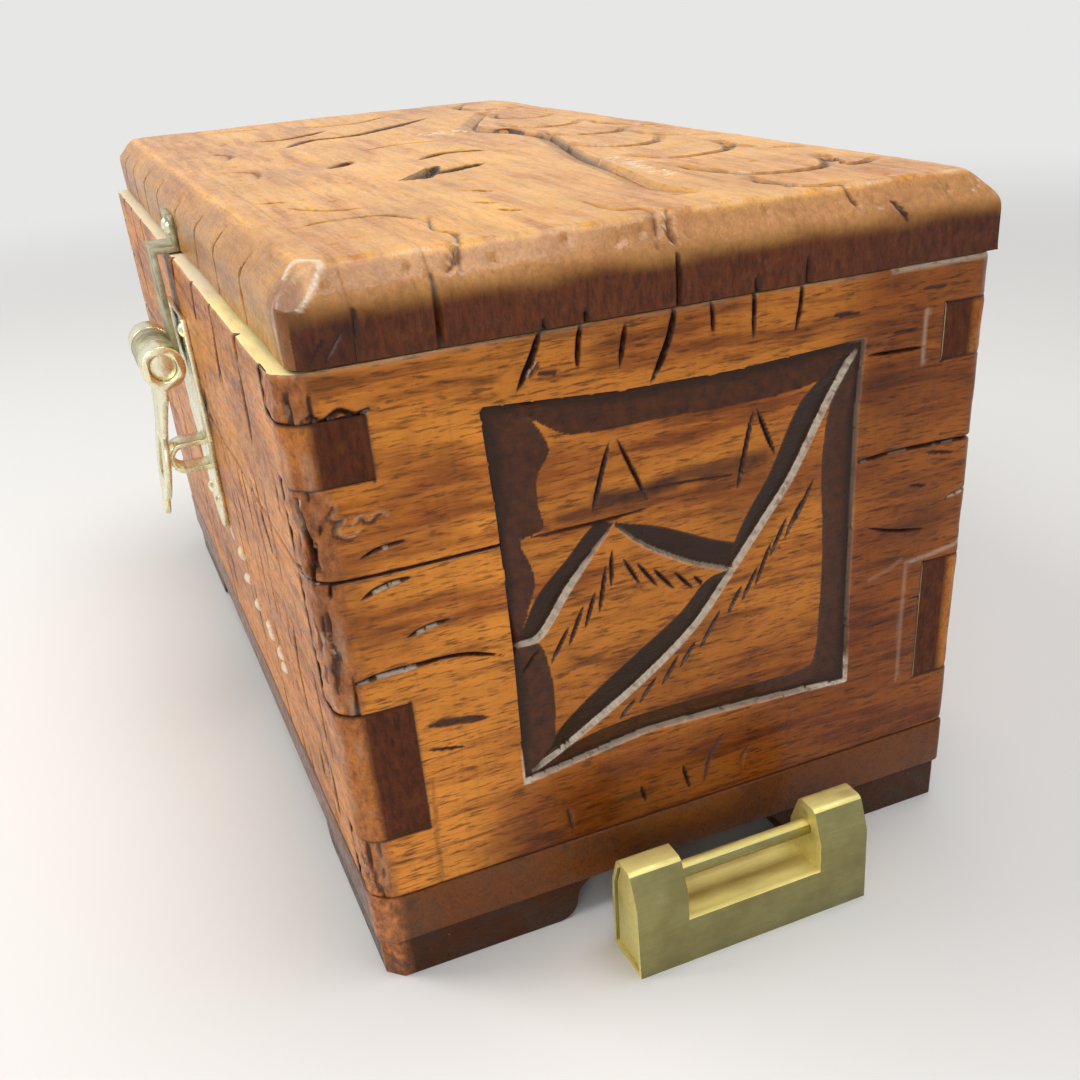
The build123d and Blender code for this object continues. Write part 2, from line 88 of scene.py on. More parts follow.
LEFT = reach("left_wall", LOW, X)
RIGHT = reach("right_wall", HIGH, X)
FRONT = reach("front_wall", LOW, Y)
BACK = reach("back_wall", HIGH, Y)
FRONT_INNER = reach("front_wall", HIGH, Y)
BACK_INNER = reach("back_wall", LOW, Y)
LEFT_INNER = reach("left_wall", HIGH, X)
RIGHT_INNER = reach("right_wall", LOW, X)
BASE_TOP = reach("bottom_board", HIGH, Z)
RIM = reach("right_wall", HIGH, Z)
LID_UNDER = reach("lid_main_board", LOW, Z)
LID_TOP = reach("lid_main_board", HIGH, Z)
LID_FRONT = reach("lid_front_strip", LOW, Y)
LID_LEFT = reach("lid_main_board", LOW, X)
LID_RIGHT = reach("lid_main_board", HIGH, X)
STRIP_JOINT = reach("lid_front_strip", HIGH, Y)
BOARD_JOINT = reach("lid_second_strip", HIGH, Y)
DEPTH = BACK - FRONT
LENGTH = RIGHT - LEFT
FRONT_DEEP = FRONT_INNER - FRONT
BACK_DEEP = BACK - BACK_INNER
END_DEEP = RIGHT - RIGHT_INNER

# The carved boards stay this far from the seam
SEAM_GAP = 0.05
RIM_SEEN = RIM - SEAM_GAP
LID_UNDER_SEEN = LID_UNDER + SEAM_GAP

# Fingers of the corner joints, as heights above the floor
FINGERS = ((29.5, 53.3), (89.3, 98.5))
FINGER_ENDS = [height for finger in FINGERS for height in finger]
# Bevels of the corners, and how far along the surface a sharp corner is rounded
CORNER = 2.6
BACK_CORNER = 0.8
ROUNDING = 1.3
LID_BEVEL_WIDTH = 4.3
LID_BEVEL_HEIGHT = 4.6
LID_CORNER = 4.4
# Faces that meet at more than this many degrees show an edge
SHARP = 34
# Seed of each wall's random waves and cuts
SEEDS = {"right": 21, "left": 53, "front": 7, "back": 8}


# Sizes and colours that a user would change
def tint(name, description, default):
    """Colour that a user may change."""
    return bpy.props.FloatVectorProperty(
        name=name, description=description, subtype="COLOR", size=3, min=0, max=1, default=default,
    )


def amount(name, description, low, high, default, subtype="NONE"):
    """Number that a user may change."""
    return bpy.props.FloatProperty(
        name=name, description=description, subtype=subtype, min=low, max=high, default=default,
    )


class KeepsakeWood(bpy.types.PropertyGroup):
    """Colours and finish of the varnished wood."""

    gold: tint("Gold grain", "Colour of the palest grain of the walls", (0.77, 0.275, 0.031))
    brown: tint("Brown grain", "Colour of most of the walls' grain", (0.42, 0.112, 0.010))
    fleck: tint("Flecks", "Colour of the short dark flecks", (0.072, 0.019, 0.004))
    honey: tint("Lid, pale", "Colour of the palest grain of the lid", (0.78, 0.385, 0.075))
    amber: tint("Lid, deep", "Colour of most of the lid's grain", (0.57, 0.215, 0.032))
    glaze: tint("Glaze in the cuts", "Colour of the dark glaze in the cuts", (0.056, 0.0150, 0.0048))
    end_grain: tint("End grain", "Colour of the end grain", (0.078, 0.0175, 0.0036))
    corner: tint("Worn corners", "Colour of the rubbed corners", (0.35, 0.120, 0.036))
    bevel: tint("Lid's bevel", "Colour of the rubbed bevel at the lid's ends", (0.50, 0.24, 0.095))
    # Also the colour of the painted highlights and glints on banks, edges, drops and punch marks
    worn: tint("Worn edges", "Colour of bare wood on worn edges", (0.78, 0.66, 0.52))
    bare: tint("Bare wood", "Colour of the unvarnished rim", (0.98, 0.84, 0.38))
    gloss: amount("Varnish", "Strength of the varnish coat", 0, 1, 0.25, "FACTOR")


class KeepsakeCarving(bpy.types.PropertyGroup):
    """Fineness and depth of the carving."""

    panel_step: amount("Panel step", "Mesh spacing on the carved panel, in millimetres", 0.2, 2, 0.32)
    board_step: amount("Board step", "Mesh spacing on the plain boards, in millimetres", 0.3, 4, 0.62)
    lid_step: amount("Lid step", "Mesh spacing on the lid's top, in millimetres", 0.3, 4, 0.6)
    panel_sink: amount("Panel sink", "Depth of the panel's border, in millimetres", 0, 3, 1.35)
    ridge_depth: amount("Slope depth", "Depth of the slopes' cuts, in millimetres", 0, 3, 1.05)


class KeepsakeBrass(bpy.types.PropertyGroup):
    """Colours and finish of the brass."""

    bright: tint("Hasp's brass", "Colour of the hasp's clean brass", (0.96, 0.92, 0.64))
    lock: tint("Lock's brass", "Colour of the loose lock's clean brass", (0.95, 0.86, 0.37))
    tarnish: tint("Tarnish", "Colour of tarnished brass", (0.20, 0.16, 0.06))
    edge: amount("Edge rounding", "Rounding of worn edges, in millimetres", 0, 1, 0.22)


class KeepsakeStage(bpy.types.PropertyGroup):
    """Floor and camera."""

    floor: tint("Floor", "Colour of the floor", (0.72, 0.72, 0.71))
    lens: amount("Lens", "Focal length on a 36 millimetre sensor", 10, 200, 39.216, "DISTANCE_CAMERA")


# Carved surfaces
def spaced(stops, steps):
    """Places through every stop, as near to these steps as each stretch divides."""
    steps = steps if np.ndim(steps) else [steps] * (len(stops) - 1)
    places = [[stops[0]]]
    for start, end, step in zip(stops, stops[1:], steps):
        count = max(1, round(abs(end - start) / step))
        places.append(np.linspace(start, end, count + 1)[1:])
    return np.concatenate(places)


def measured(line):
    """How far along a line each of its points is."""
    return np.concatenate([[0], np.cumsum(np.hypot(*np.diff(line, axis=0).T))])


def between(at, marks, line):
    """Places on a line whose points are at these marks."""
    return np.column_stack([np.interp(at, marks, part) for part in np.asarray(line, float).T])


def unit(ways):
    """These ways, each with a length of 1."""
    return ways / np.hypot(*ways.T)[:, None]


def in_box(places, low, high):
    """Whether each place is inside a box."""
    return np.all((places > low) & (places < high), axis=1)


def smooth(low, high, value):
    """0 below low and 1 above high, with an even turn between."""
    share = np.clip((value - low) / (high - low), 0, 1)
    return share * share * (3 - 2 * share)


def curved(points, count=6):
    """More points on a smooth line through these."""
    p = np.asarray(points, float)
    if len(p) < 3:
        return p
    padded = np.vstack([2 * p[0] - p[1], p, 2 * p[-1] - p[-2]])
    out = []
    for a, b, c, d in zip(padded, padded[1:], padded[2:], padded[3:]):
        for t in np.linspace(0, 1, count, endpoint=False):
            out.append(
                0.5 * (2 * b + (c - a) * t + (2 * a - 5 * b + 4 * c - d) * t**2
                       + (3 * b - a - 3 * c + d) * t**3)
            )
    return np.array(out + [p[-1]])


def ripple(places, size, seed):
    """Soft uneven waves from -1 to 1 over flat places, about this size across."""
    random = np.random.default_rng(seed)
    total = np.zeros(len(places))
    for _ in range(9):
        angle, phase = random.uniform(0, 2 * np.pi, 2)
        wave = 2 * np.pi / (size * random.uniform(0.6, 1.9))
        total += np.sin(wave * (places[:, 0] * np.cos(angle) + places[:, 1] * np.sin(angle)) + phase)
    return total / 4.5


def from_line(places, line):
    """Distance from a line, side of it, share of its length and nearest place on it."""
    line = np.asarray(line, float)
    runs = np.diff(line, axis=0)
    lengths = np.hypot(runs[:, 0], runs[:, 1])
    done = np.concatenate([[0], np.cumsum(lengths)[:-1]])
    best = np.full(len(places), np.inf)
    side = np.zeros(len(places))
    share = np.zeros(len(places))
    nearest = np.zeros((len(places), 2))
    for start, run, length, before in zip(line, runs, lengths, done):
        offset = places - start
        t = np.clip(offset @ run / length**2, 0, 1)
        away = offset - t[:, None] * run
        distance = np.hypot(away[:, 0], away[:, 1])
        nearer = distance < best
        best[nearer] = distance[nearer]
        side[nearer] = np.sign(run[0] * offset[:, 1] - run[1] * offset[:, 0])[nearer]
        share[nearer] = ((before + t * length) / lengths.sum())[nearer]
        nearest[nearer] = (start + t[:, None] * run)[nearer]
    return best, side, share, nearest


def beside(line, distance):
    """Line moved to its left by a distance."""
    line = np.asarray(line, float)
    way = unit(np.gradient(line, axis=0))
    return line + np.column_stack([-way[:, 1], way[:, 0]]) * np.reshape(distance, (-1, 1))


def within(places, outline):
    """Whether each place is inside a closed outline."""
    inside = np.zeros(len(places), bool)
    corners = np.asarray(outline, float)
    for (ax, ay), (bx, by) in zip(corners, np.roll(corners, -1, axis=0)):
        if ay == by:
            continue
        crossing = (ay > places[:, 1]) != (by > places[:, 1])
        at = ax + (places[:, 1] - ay) / (by - ay) * (bx - ax)
        inside ^= crossing & (places[:, 0] < at)
    return inside


# Glaze, worn wood and painted highlights, rubbed corners, end grain, and painted shade with old varnish, as
# the materials read them
LAYERS = ("stain", "wear", "rub", "cross", "shade")


class Relief:
    """Height, and how far each of the layers goes, over flat places of one carved face."""

    def __init__(self, places, step):
        self.places = np.asarray(places, float)
        self.step = step
        self.keys = []
        for name in ("height", *LAYERS):
            setattr(self, name, np.zeros(len(places)))

    def near(self, line, margin):
        """Indices of the places in the box round a line, with this margin."""
        line = np.asarray(line, float)
        low, high = line.min(0) - margin, line.max(0) + margin
        return np.nonzero(in_box(self.places, low, high))[0]

    def darken(self, at, amount):
        """Lay stain where it is deeper than what is there."""
        self.stain[at] = np.maximum(self.stain[at], amount)

    def pale(self, at, amount):
        """Lay pale colour, for worn wood and painted highlights, where it is more than what is there."""
        self.wear[at] = np.maximum(self.wear[at], amount)

    def groove(self, line, width, depth, stain=0.9, blunt=(0.0, 0.0), wear=0.0, keyed=True):
        """V cut along a line, pointed at its ends; its left or right bank can be paled, as a painted glint
        where light falls on it.
        """
        line = curved(line)

        def tapered(share):
            return np.clip(np.minimum(share / 0.3 + blunt[0], (1 - share) / 0.3 + blunt[1]), 0, 1)

        done = measured(line)
        bank = 0.45 * width * np.maximum(tapered(done / done[-1]), 0.02) ** 0.6
        self.keys += [line] if keyed else []
        if keyed and bank.max() > self.step:
            self.keys += [beside(line, bank), beside(line, -bank)]
        at = self.near(line, width + 1)
        away, side, share, _ = from_line(self.places[at], line)
        taper = tapered(share)
        half = width / 2 * np.maximum(taper, 0.02) ** 0.6
        cut = np.clip(1 - away / half, 0, 1)
        self.height[at] -= depth * taper * cut
        self.darken(at, stain * smooth(-0.1, 0.45, cut) * np.minimum(1, taper * 2.5) * (cut > 0))
        if wear:
            # Painted glint: the lit bank is paled and its glaze taken off
            bank = smooth(0.05, 0.4, cut) * smooth(1.0, 0.7, cut) * (side * wear > 0)
            self.pale(at, abs(wear) * bank * taper)
            self.stain[at] *= 1 - 0.9 * bank * taper * min(1, abs(wear))

    def cuts(self, rows):
        """Grooves of a table whose rows have line, width, depth, stain and the paleness of one bank, a
        painted glint.
        """
        for line, width, depth, stain, wear in rows:
            self.groove(line, width, depth, stain=stain, wear=-wear)

    def lip(self, away, inside):
        """How near the upper edge at a cut's foot each place is; away is its distance from it."""
        return smooth(self.step * 1.6, self.step * 0.6, away) * np.where(inside, away < 0.1, 1)

    def ridge(self, line, width, height, wear):
        """Raised thread along a line, paled on its crest."""
        line = curved(line)
        at = self.near(line, width)
        away = from_line(self.places[at], line)[0] / (width / 2)
        self.height[at] += height * np.clip(1 - away**2, 0, 1)
        self.pale(at, wear * smooth(1.0, 0.3, away))

    def slope(self, foot, brow, depth, stain=0.95, wear=1.0, ends=(0.1, 0.1)):
        """Cut that falls from its brow to an upright wall at its foot, which is paled as a painted highlight
        where light falls on the wall.
        """
        foot, brow = curved(foot), curved(brow)
        facing = from_line(brow, foot)[1].mean() > 0
        self.keys += [beside(foot, 0.02 if facing else -0.02), brow]
        self.keys.append(beside(foot, -self.step if facing else self.step))
        outline = np.vstack([foot, brow[::-1]])
        at = self.near(outline, 2.5)
        to_foot, _, share, _ = from_line(self.places[at], foot)
        to_brow = from_line(self.places[at], brow)[0]
        inside = within(self.places[at], outline)
        fall = to_brow / np.maximum(to_foot + to_brow, 1e-6)
        fade = np.clip(np.minimum((share + 0.02) / ends[0], (1.02 - share) / ends[1]), 0, 1)
        self.height[at] -= np.where(inside, depth * fade * fall, 0)
        self.darken(at, np.where(inside, stain * smooth(0.0, 0.1, fall), 0))
        # Painted highlight on the wall at the foot
        self.pale(at, wear * self.lip(to_foot, inside) * fade)

    def dimples(self, spots, radius, depth, stain=0.25, wear=0.0):
        """Small round punch marks; their rims can be paled as painted glints."""
        for spot in spots:
            at = self.near([spot], radius + 0.2)
            away = np.hypot(*(self.places[at] - spot).T) / radius
            self.height[at] -= depth * np.clip(1 - away**2, 0, 1)
            self.darken(at, stain * smooth(1, 0.3, away))
            self.pale(at, wear * smooth(1.1, 0.8, away) * smooth(0.5, 0.8, away))

    def drops(self, spots, long=2.0):
        """Small drops that stand on the surface, longer along it than they are high, painted pale as glints.
        """
        for along, level, radius, height in spots:
            at = self.near([(along, level)], radius * long + 0.3)
            away = np.hypot(*((self.places[at] - (along, level)) / [long, 1]).T) / radius
            self.height[at] += height * np.clip(1 - away**2, 0, 1) ** 0.6
            self.pale(at, smooth(1.1, 0.85, away))
            self.stain[at] *= smooth(0.85, 1.1, away)


def settle(places, keys, cell, held):
    """Places with those beside a key line moved onto it, and the line each is on."""
    settled, on_line = places.copy(), np.full(len(places), -1)
    best = np.full(len(places), np.inf)
    free = ~held
    for number, line in enumerate(keys):
        low, high = line.min(0) - 1, line.max(0) + 1
        at = np.nonzero(free & in_box(places, low, high))[0]
        away, _, share, nearest = from_line(places[at], line)
        offset = np.abs(places[at] - nearest) / np.maximum(away, 1e-9)[:, None]
        limit = 0.5 * (offset * cell[at]).max(1)
        ends = (share > 0) & (share < 1)
        chosen = (away <= limit) & (away < best[at]) & ends
        settled[at[chosen]] = nearest[chosen]
        best[at[chosen]] = away[chosen]
        on_line[at[chosen]] = number
    return settled, on_line


def crease(bm, on_line):
    """Split each face whose two far corners are on one key line along that line."""
    splits = []
    for face in bm.faces:
        a, b, c, d = face.verts
        if on_line[a.index] >= 0 and on_line[a.index] == on_line[c.index]:
            if not on_line[b.index] == on_line[d.index] >= 0:
                splits.append((face, a, c))
        elif on_line[b.index] >= 0 and on_line[b.index] == on_line[d.index]:
            splits.append((face, b, d))
    for face, start, end in splits:
        bmesh.utils.face_split(face, start, end)


def lie(bm, places):
    """Put the vertices of a mesh at these places."""
    for vertex, place in zip(bm.verts, places):
        vertex.co = place


def mark(bm, relief):
    """Write what the relief says of each vertex to the mesh's layers."""
    for name in LAYERS:
        layer = bm.verts.layers.float.new(name)
        for vertex, value in zip(bm.verts, getattr(relief, name)):
            vertex[layer] = value


def finish_piece(bm, name, body, materials, replaced, bare=None):
    """Make the object of a finished piece, in metres, attach it to its body and hide the frame's nodes that
    it stands for.

    bare(middle, normal) picks the faces that take the second material.
    """
    bmesh.ops.recalc_face_normals(bm, faces=bm.faces)
    if bare:
        for face in bm.faces:
            face.material_index = int(bare(face.calc_center_median(), face.normal))
    bmesh.ops.scale(bm, vec=(MM, MM, MM), verts=bm.verts)
    mesh = bpy.data.meshes.new(name)
    bm.to_mesh(mesh)
    bm.free()
    for material in materials:
        mesh.materials.append(material)
    mesh.polygons.foreach_set("use_smooth", [True] * len(mesh.polygons))
    mesh.set_sharp_from_angle(angle=math.radians(SHARP))
    piece = bpy.data.objects.new(name, mesh)
    bpy.context.scene.collection.objects.link(piece)
    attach(piece, body)
    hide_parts(*replaced)
    return piece


def plate(u_lines, v_lines):
    """Grid over these lines, with the number of the column and row of each vertex."""
    bm = bmesh.new()
    columns, rows = len(u_lines) - 1, len(v_lines) - 1
    bmesh.ops.create_grid(bm, x_segments=columns, y_segments=rows, size=1)
    co = np.array([v.co[:2] for v in bm.verts])
    column = np.rint((co[:, 0] + 1) / 2 * columns).astype(int)
    row = np.rint((co[:, 1] + 1) / 2 * rows).astype(int)
    return bm, column, row


def spacing(lines):
    """Room round each line of a grid, to its nearer neighbour."""
    gaps = np.diff(lines)
    return np.minimum(np.append(gaps, gaps[-1]), np.insert(gaps, 0, gaps[0]))


# A wall's levels may be bent onto a cut between these places along its face
LOOSE_LEVELS = (22, 97)


def board_wall(plan, sign, lip, total, stops, spread, levels, level_steps, axis, inner, relief, absent):
    """Carved board that follows a plan round its corners, closed to its inner plane.

    plan is the outer line seen from above. Its face begins after lip, and is counted from
    the line's start, or from its end where sign is -1; total is the line's whole length.
    The mesh has a line at each of the stops and levels. spread(place) is its spacing along
    the face, and relief(places, step) carves it. absent(place) is true where a neighbour's
    finger takes the board's place. The inner plane is at inner on this axis.
    """

    def along(run):
        return (run if sign > 0 else total - run) - lip

    stops = [lip + place if sign > 0 else total - (lip + place) for place in stops]
    plan = np.asarray(plan[::sign], float)
    lengths = np.hypot(*np.diff(plan, axis=0).T)
    marks = np.concatenate([[0], np.cumsum(lengths)])
    stretches = sorted(set(np.round(list(marks) + stops, 4)))
    steps = [spread(along((start + end) / 2)) for start, end in zip(stretches, stretches[1:])]
    u_lines = spaced(stretches, steps)
    v_lines = spaced(levels, level_steps)
    bm, column, row = plate(u_lines, v_lines)
    # The plan and its outward way, averaged over a short run on each side, so corners come out round
    turn = np.array([[(b - a)[1], -(b - a)[0]] for a, b in zip(plan, plan[1:])]) / lengths[:, None]
    blend, around = np.zeros((len(u_lines), 2)), np.zeros((len(u_lines), 2))
    offsets = np.linspace(-ROUNDING, ROUNDING, 11)
    for offset in offsets:
        at = np.clip(u_lines + offset, 0, marks[-1])
        part = np.clip(np.searchsorted(marks, at, side="right") - 1, 0, len(lengths) - 1)
        blend += turn[part]
        around += between(at, marks, plan)
    blend = unit(blend)
    around /= len(offsets)
    for end in (0, -1):
        around[end], blend[end] = plan[end], turn[end]
    raw = np.column_stack([u_lines[column], v_lines[row]])
    places = np.column_stack([along(raw[:, 0]), raw[:, 1]])
    step = min(spacing(v_lines).min(), spacing(u_lines).min())
    held = (column == 0) | (column == len(u_lines) - 1) | (row == 0) | (row == len(v_lines) - 1)
    held |= np.isin(np.round(raw[:, 0], 3), np.round(stops, 3))
    loose = (places[:, 0] > LOOSE_LEVELS[0]) & (places[:, 0] < LOOSE_LEVELS[1])
    held |= np.isin(np.round(raw[:, 1], 3), np.round(levels, 3)) & ~loose
    cell = np.column_stack([spacing(u_lines)[column], spacing(v_lines)[row]])
    settled, on_line = settle(places, relief(places, step).keys, cell, held)
    carved = relief(settled, step)
    run = raw[:, 0] + sign * (settled - places)[:, 0]
    line, way = between(run, u_lines, around), between(run, u_lines, blend)
    lie(bm, np.column_stack([line + way * carved.height[:, None], settled[:, 1]]))
    mark(bm, carved)
    gone = [face for face in bm.faces if absent(np.mean([places[v.index] for v in face.verts], axis=0))]
    crease(bm, on_line)
    bmesh.ops.delete(bm, geom=[face for face in gone if face.is_valid], context="FACES")
    border = [edge for edge in bm.edges if edge.is_boundary]
    for vertex in bmesh.ops.extrude_edge_only(bm, edges=border)["geom"]:
        if isinstance(vertex, bmesh.types.BMVert):
            vertex.co[axis] = inner
    bmesh.ops.remove_doubles(bm, verts=bm.verts, dist=1e-4)
    bmesh.ops.holes_fill(bm, edges=[edge for edge in bm.edges if edge.is_boundary], sides=0)
    return bm


def joint_dips(relief, lines):
    """Fine dark dips where two boards meet."""
    for (a, low), (b, high) in lines:
        width, stain = (0.55, 0.62) if low == high else (0.8, 0.95)
        relief.groove([(a, low), (b, high)], width, 0.16, stain=stain, blunt=(1, 1))


# Carving of the end walls: run is counted back from the front face, height from the floor
SQUARE = [(27.7, 96.1), (48.8, 94.6), (67.7, 94.2), (91.2, 95.2), (90.4, 82.5), (90.6, 61.4), (91.1, 33.5),
          (70.0, 34.9), (51.5, 35.6), (28.6, 32.6), (29.0, 58.1), (28.6, 79.2)]
FIELD = [(35.0, 93.2), (36.4, 91.2), (37.4, 88.3), (36.2, 86.3), (35.1, 84.3), (35.0, 80.5), (35.4, 76.4),
         (31.7, 75.2), (32.9, 71.4), (33.4, 67.8), (32.0, 64.0), (30.0, 58.4), (33.2, 57.6), (34.4, 53.8),
         (35.0, 48.6), (34.8, 43.0), (34.3, 38.6), (33.0, 36.2), (40.3, 38.2), (51.6, 39.3), (69.1, 38.8),
         (81.6, 38.6), (84.2, 41.0), (84.8, 50.0), (84.8, 62.8), (84.0, 74.8), (84.7, 84.1), (86.6, 90.6),
         (79.5, 89.4), (67.7, 89.0), (53.5, 89.4), (43.3, 89.5), (39.1, 90.4)]
BIG_FOOT = [(30.4, 34.0), (32.9, 35.3), (41.6, 40.2), (51.9, 46.4), (61.0, 53.4), (67.8, 61.6)]
BIG_BROW = [(33.2, 37.6), (35.2, 41.1), (40.9, 45.7), (49.9, 51.5), (57.7, 56.4), (62.6, 61.0), (67.2, 61.9)]
HIGH_FOOT = [(67.8, 61.6), (73.2, 68.4), (78.8, 75.8), (85.1, 86.9), (89.8, 93.4)]
HIGH_BROW = [(67.9, 66.6), (70.0, 70.6), (74.3, 77.2), (78.5, 86.0), (81.8, 89.6), (86.5, 93.0)]
LEFT_FOOT = [(29.6, 57.9), (33.5, 58.8), (38.6, 65.4), (42.5, 70.0), (46.6, 74.6)]
LEFT_BROW = [(30.4, 60.7), (33.4, 66.0), (38.6, 70.8), (43.3, 75.2), (46.8, 75.0)]
RIGHT_FOOT = [(47.0, 74.3), (48.4, 73.0), (52.7, 69.3), (60.1, 64.8), (67.6, 61.6)]
RIGHT_BROW = [(47.2, 74.8), (54.9, 72.4), (63.4, 68.4), (68.0, 66.6)]
# Foot, brow, share of the slopes' depth, painted highlight on the foot's wall, and how soon each end fades
# in
SLOPES = (
    (BIG_FOOT, BIG_BROW, 1.0, 1.0, (0.05, 0.01)),
    (HIGH_FOOT, HIGH_BROW, 1.0, 1.0, (0.01, 0.06)),
    (LEFT_FOOT, LEFT_BROW, 1.15, 1.0, (0.05, 0.5)),
    (RIGHT_FOOT, RIGHT_BROW, 0.8, 0.45, (0.3, 0.01)),
)
HATCHES = [
    [(45.2, 68.3), (43.5, 59.9)], [(46.3, 70.6), (45.8, 64.0)], [(43.1, 64.2), (40.9, 57.9)],
    [(41.0, 62.4), (37.9, 55.5)], [(38.4, 59.4), (34.6, 53.2)], [(33.4, 56.8), (29.9, 51.8)],
    [(48.0, 68.6), (50.9, 63.2)], [(50.3, 67.3), (54.1, 61.9)], [(53.1, 65.5), (57.0, 60.8)],
    [(56.8, 64.1), (60.3, 60.0)], [(60.4, 62.3), (62.2, 60.3)],
    [(65.5, 55.0), (61.2, 48.3)], [(60.7, 50.4), (57.5, 45.9)], [(57.5, 48.7), (54.0, 43.4)],
    [(53.2, 45.7), (49.7, 41.2)], [(49.2, 42.5), (46.0, 39.4)], [(69.5, 58.4), (66.7, 53.6)],
    [(72.6, 61.4), (69.3, 55.1)], [(75.1, 65.2), (71.8, 57.2)], [(77.9, 68.8), (74.6, 62.0)],
    [(80.7, 71.3), (77.4, 64.6)], [(82.8, 74.4), (79.1, 66.9)],
]
TREES = [
    [(43.2, 76.5), (46.9, 88.1)], [(47.8, 88.3), (50.2, 82.9), (53.0, 76.5)],
    [(68.3, 74.8), (71.4, 88.3)], [(71.7, 88.3), (75.4, 79.5)],
]
# line, width, depth, stain, and the paleness of one bank (a painted glint)
END_CUTS = [
    ([(37.8, 106.4), (36.9, 104.3), (35.8, 101.9), (33.9, 98.7), (32.8, 97.2)], 1.25, 1.0, 1.0, 0.0),
    ([(36.9, 101.6), (36.3, 100.4), (34.8, 98.9)], 1.1, 0.6, 0.5, 0.9),
    ([(43.9, 106.2), (43.0, 103.4), (42.4, 98.6)], 1.0, 0.9, 1.0, 0.0),
    ([(50.4, 104.9), (49.7, 101.5), (49.0, 98.0)], 1.0, 0.8, 1.0, 0.0),
    ([(58.3, 106.8), (57.4, 101.9), (55.8, 98.2), (53.6, 94.6)], 1.35, 1.1, 1.0, 0.25),
    ([(64.0, 106.2), (64.3, 102.8), (64.3, 99.8)], 0.9, 0.6, 1.0, 0.0),
    ([(71.3, 106.8), (71.3, 104.8), (71.2, 98.4)], 0.9, 0.7, 1.0, 0.0),
    ([(79.6, 106.8), (79.2, 102.0), (78.3, 98.0)], 0.9, 0.7, 1.0, 0.0),
    ([(7.0, 78.1), (10.7, 79.2), (15.6, 79.7)], 0.9, 0.6, 0.8, 0.9),
    ([(6.4, 71.9), (10.2, 73.3), (15.0, 73.9)], 1.15, 0.8, 1.0, 1.0),
    ([(12.1, 64.3), (15.7, 65.2), (19.8, 65.7)], 1.1, 0.8, 0.9, 1.0),
    ([(2.4, 58.6), (7.2, 59.2), (12.3, 59.4), (17.0, 59.4)], 1.3, 0.9, 1.0, 1.0),
    ([(10.0, 59.6), (19.2, 59.4), (24.4, 58.2), (28.0, 56.7)], 0.9, 0.6, 1.0, 0.0),
    ([(12.7, 48.6), (18.0, 48.0), (24.2, 46.9)], 1.8, 0.15, 0.75, 0.0),
    ([(12.9, 44.2), (19.4, 42.8)], 0.7, 0.25, 0.9, 0.0),
    ([(91.2, 92.6), (97.2, 92.3), (103.9, 92.1)], 0.85, 0.55, 1.0, 0.0),
    ([(96.1, 95.4), (101.8, 95.2)], 0.8, 0.3, 0.85, 0.0),
    ([(84.9, 99.8), (90.3, 99.5)], 0.8, 0.3, 0.85, 0.0),
    ([(101.5, 101.4), (106.4, 101.1)], 0.8, 0.25, 0.8, 0.0),
    ([(104.7, 74.1), (111.0, 72.8)], 0.8, 0.35, 0.9, 0.0),
    ([(101.8, 68.8), (105.8, 67.9)], 0.8, 0.35, 0.9, 0.0),
    ([(93.2, 63.0), (98.6, 61.2), (104.0, 60.1), (107.1, 59.8)], 0.9, 0.5, 1.0, 0.0),
    ([(109.7, 64.8), (112.4, 65.2), (115.4, 65.8)], 1.1, 0.7, 0.5, 1.0),
    ([(101.4, 53.8), (107.4, 54.5)], 0.8, 0.25, 0.2, 0.6),
    ([(103.3, 46.7), (110.7, 46.4)], 0.7, 0.25, 0.8, 0.0),
    ([(107.7, 39.8), (114.6, 38.3)], 0.7, 0.25, 0.8, 0.0),
    ([(66.7, 30.9), (63.6, 27.4), (62.4, 24.0), (61.7, 20.3)], 1.3, 0.4, 0.55, 0.2),
    ([(71.6, 26.7), (69.5, 23.5), (69.8, 20.1)], 1.1, 0.3, 0.4, 0.0),
    ([(57.6, 26.3), (59.0, 20.6)], 0.9, 0.4, 0.95, 0.0),
    ([(49.3, 24.7), (50.3, 20.8)], 0.8, 0.4, 0.95, 0.0),
    ([(35.4, 25.0), (36.2, 19.6)], 0.9, 0.3, 0.6, 0.0),
    ([(36.0, 99.6), (37.6, 99.4), (40.2, 99.1)], 1.2, 0.2, 0.8, 0.0),
    ([(46.5, 78.7), (55.7, 78.8), (72.1, 77.7)], 0.8, 0.25, 0.8, 0.0),
    ([(53.5, 43.0), (64.0, 43.2), (76.0, 44.5)], 1.2, 0.08, 0.25, 0.0),
]
# The left wall has only this many of them
CUTS_HIDDEN = 7
# Height of the joint between the two planks of each wall
PLANK_JOINT = 75.4
PLANK_JOINT_CUTS = [
    ([(-8, PLANK_JOINT + 0.5), (8.9, PLANK_JOINT - 0.1), (28.4, PLANK_JOINT)], 0.8, 0.5,
     {"stain": 1.0, "blunt": (1, 1)}),
    ([(91.4, 75.1), (96.1, 75.4), (102.9, 75.4), (124, 74.6)], 0.9, 0.6,
     {"stain": 1.0, "blunt": (1, 1), "wear": -0.35}),
    ([(32.1, 75.5), (43.3, 75.4), (54.0, 75.9)], 0.7, 0.4, {"stain": 0.9}),
]
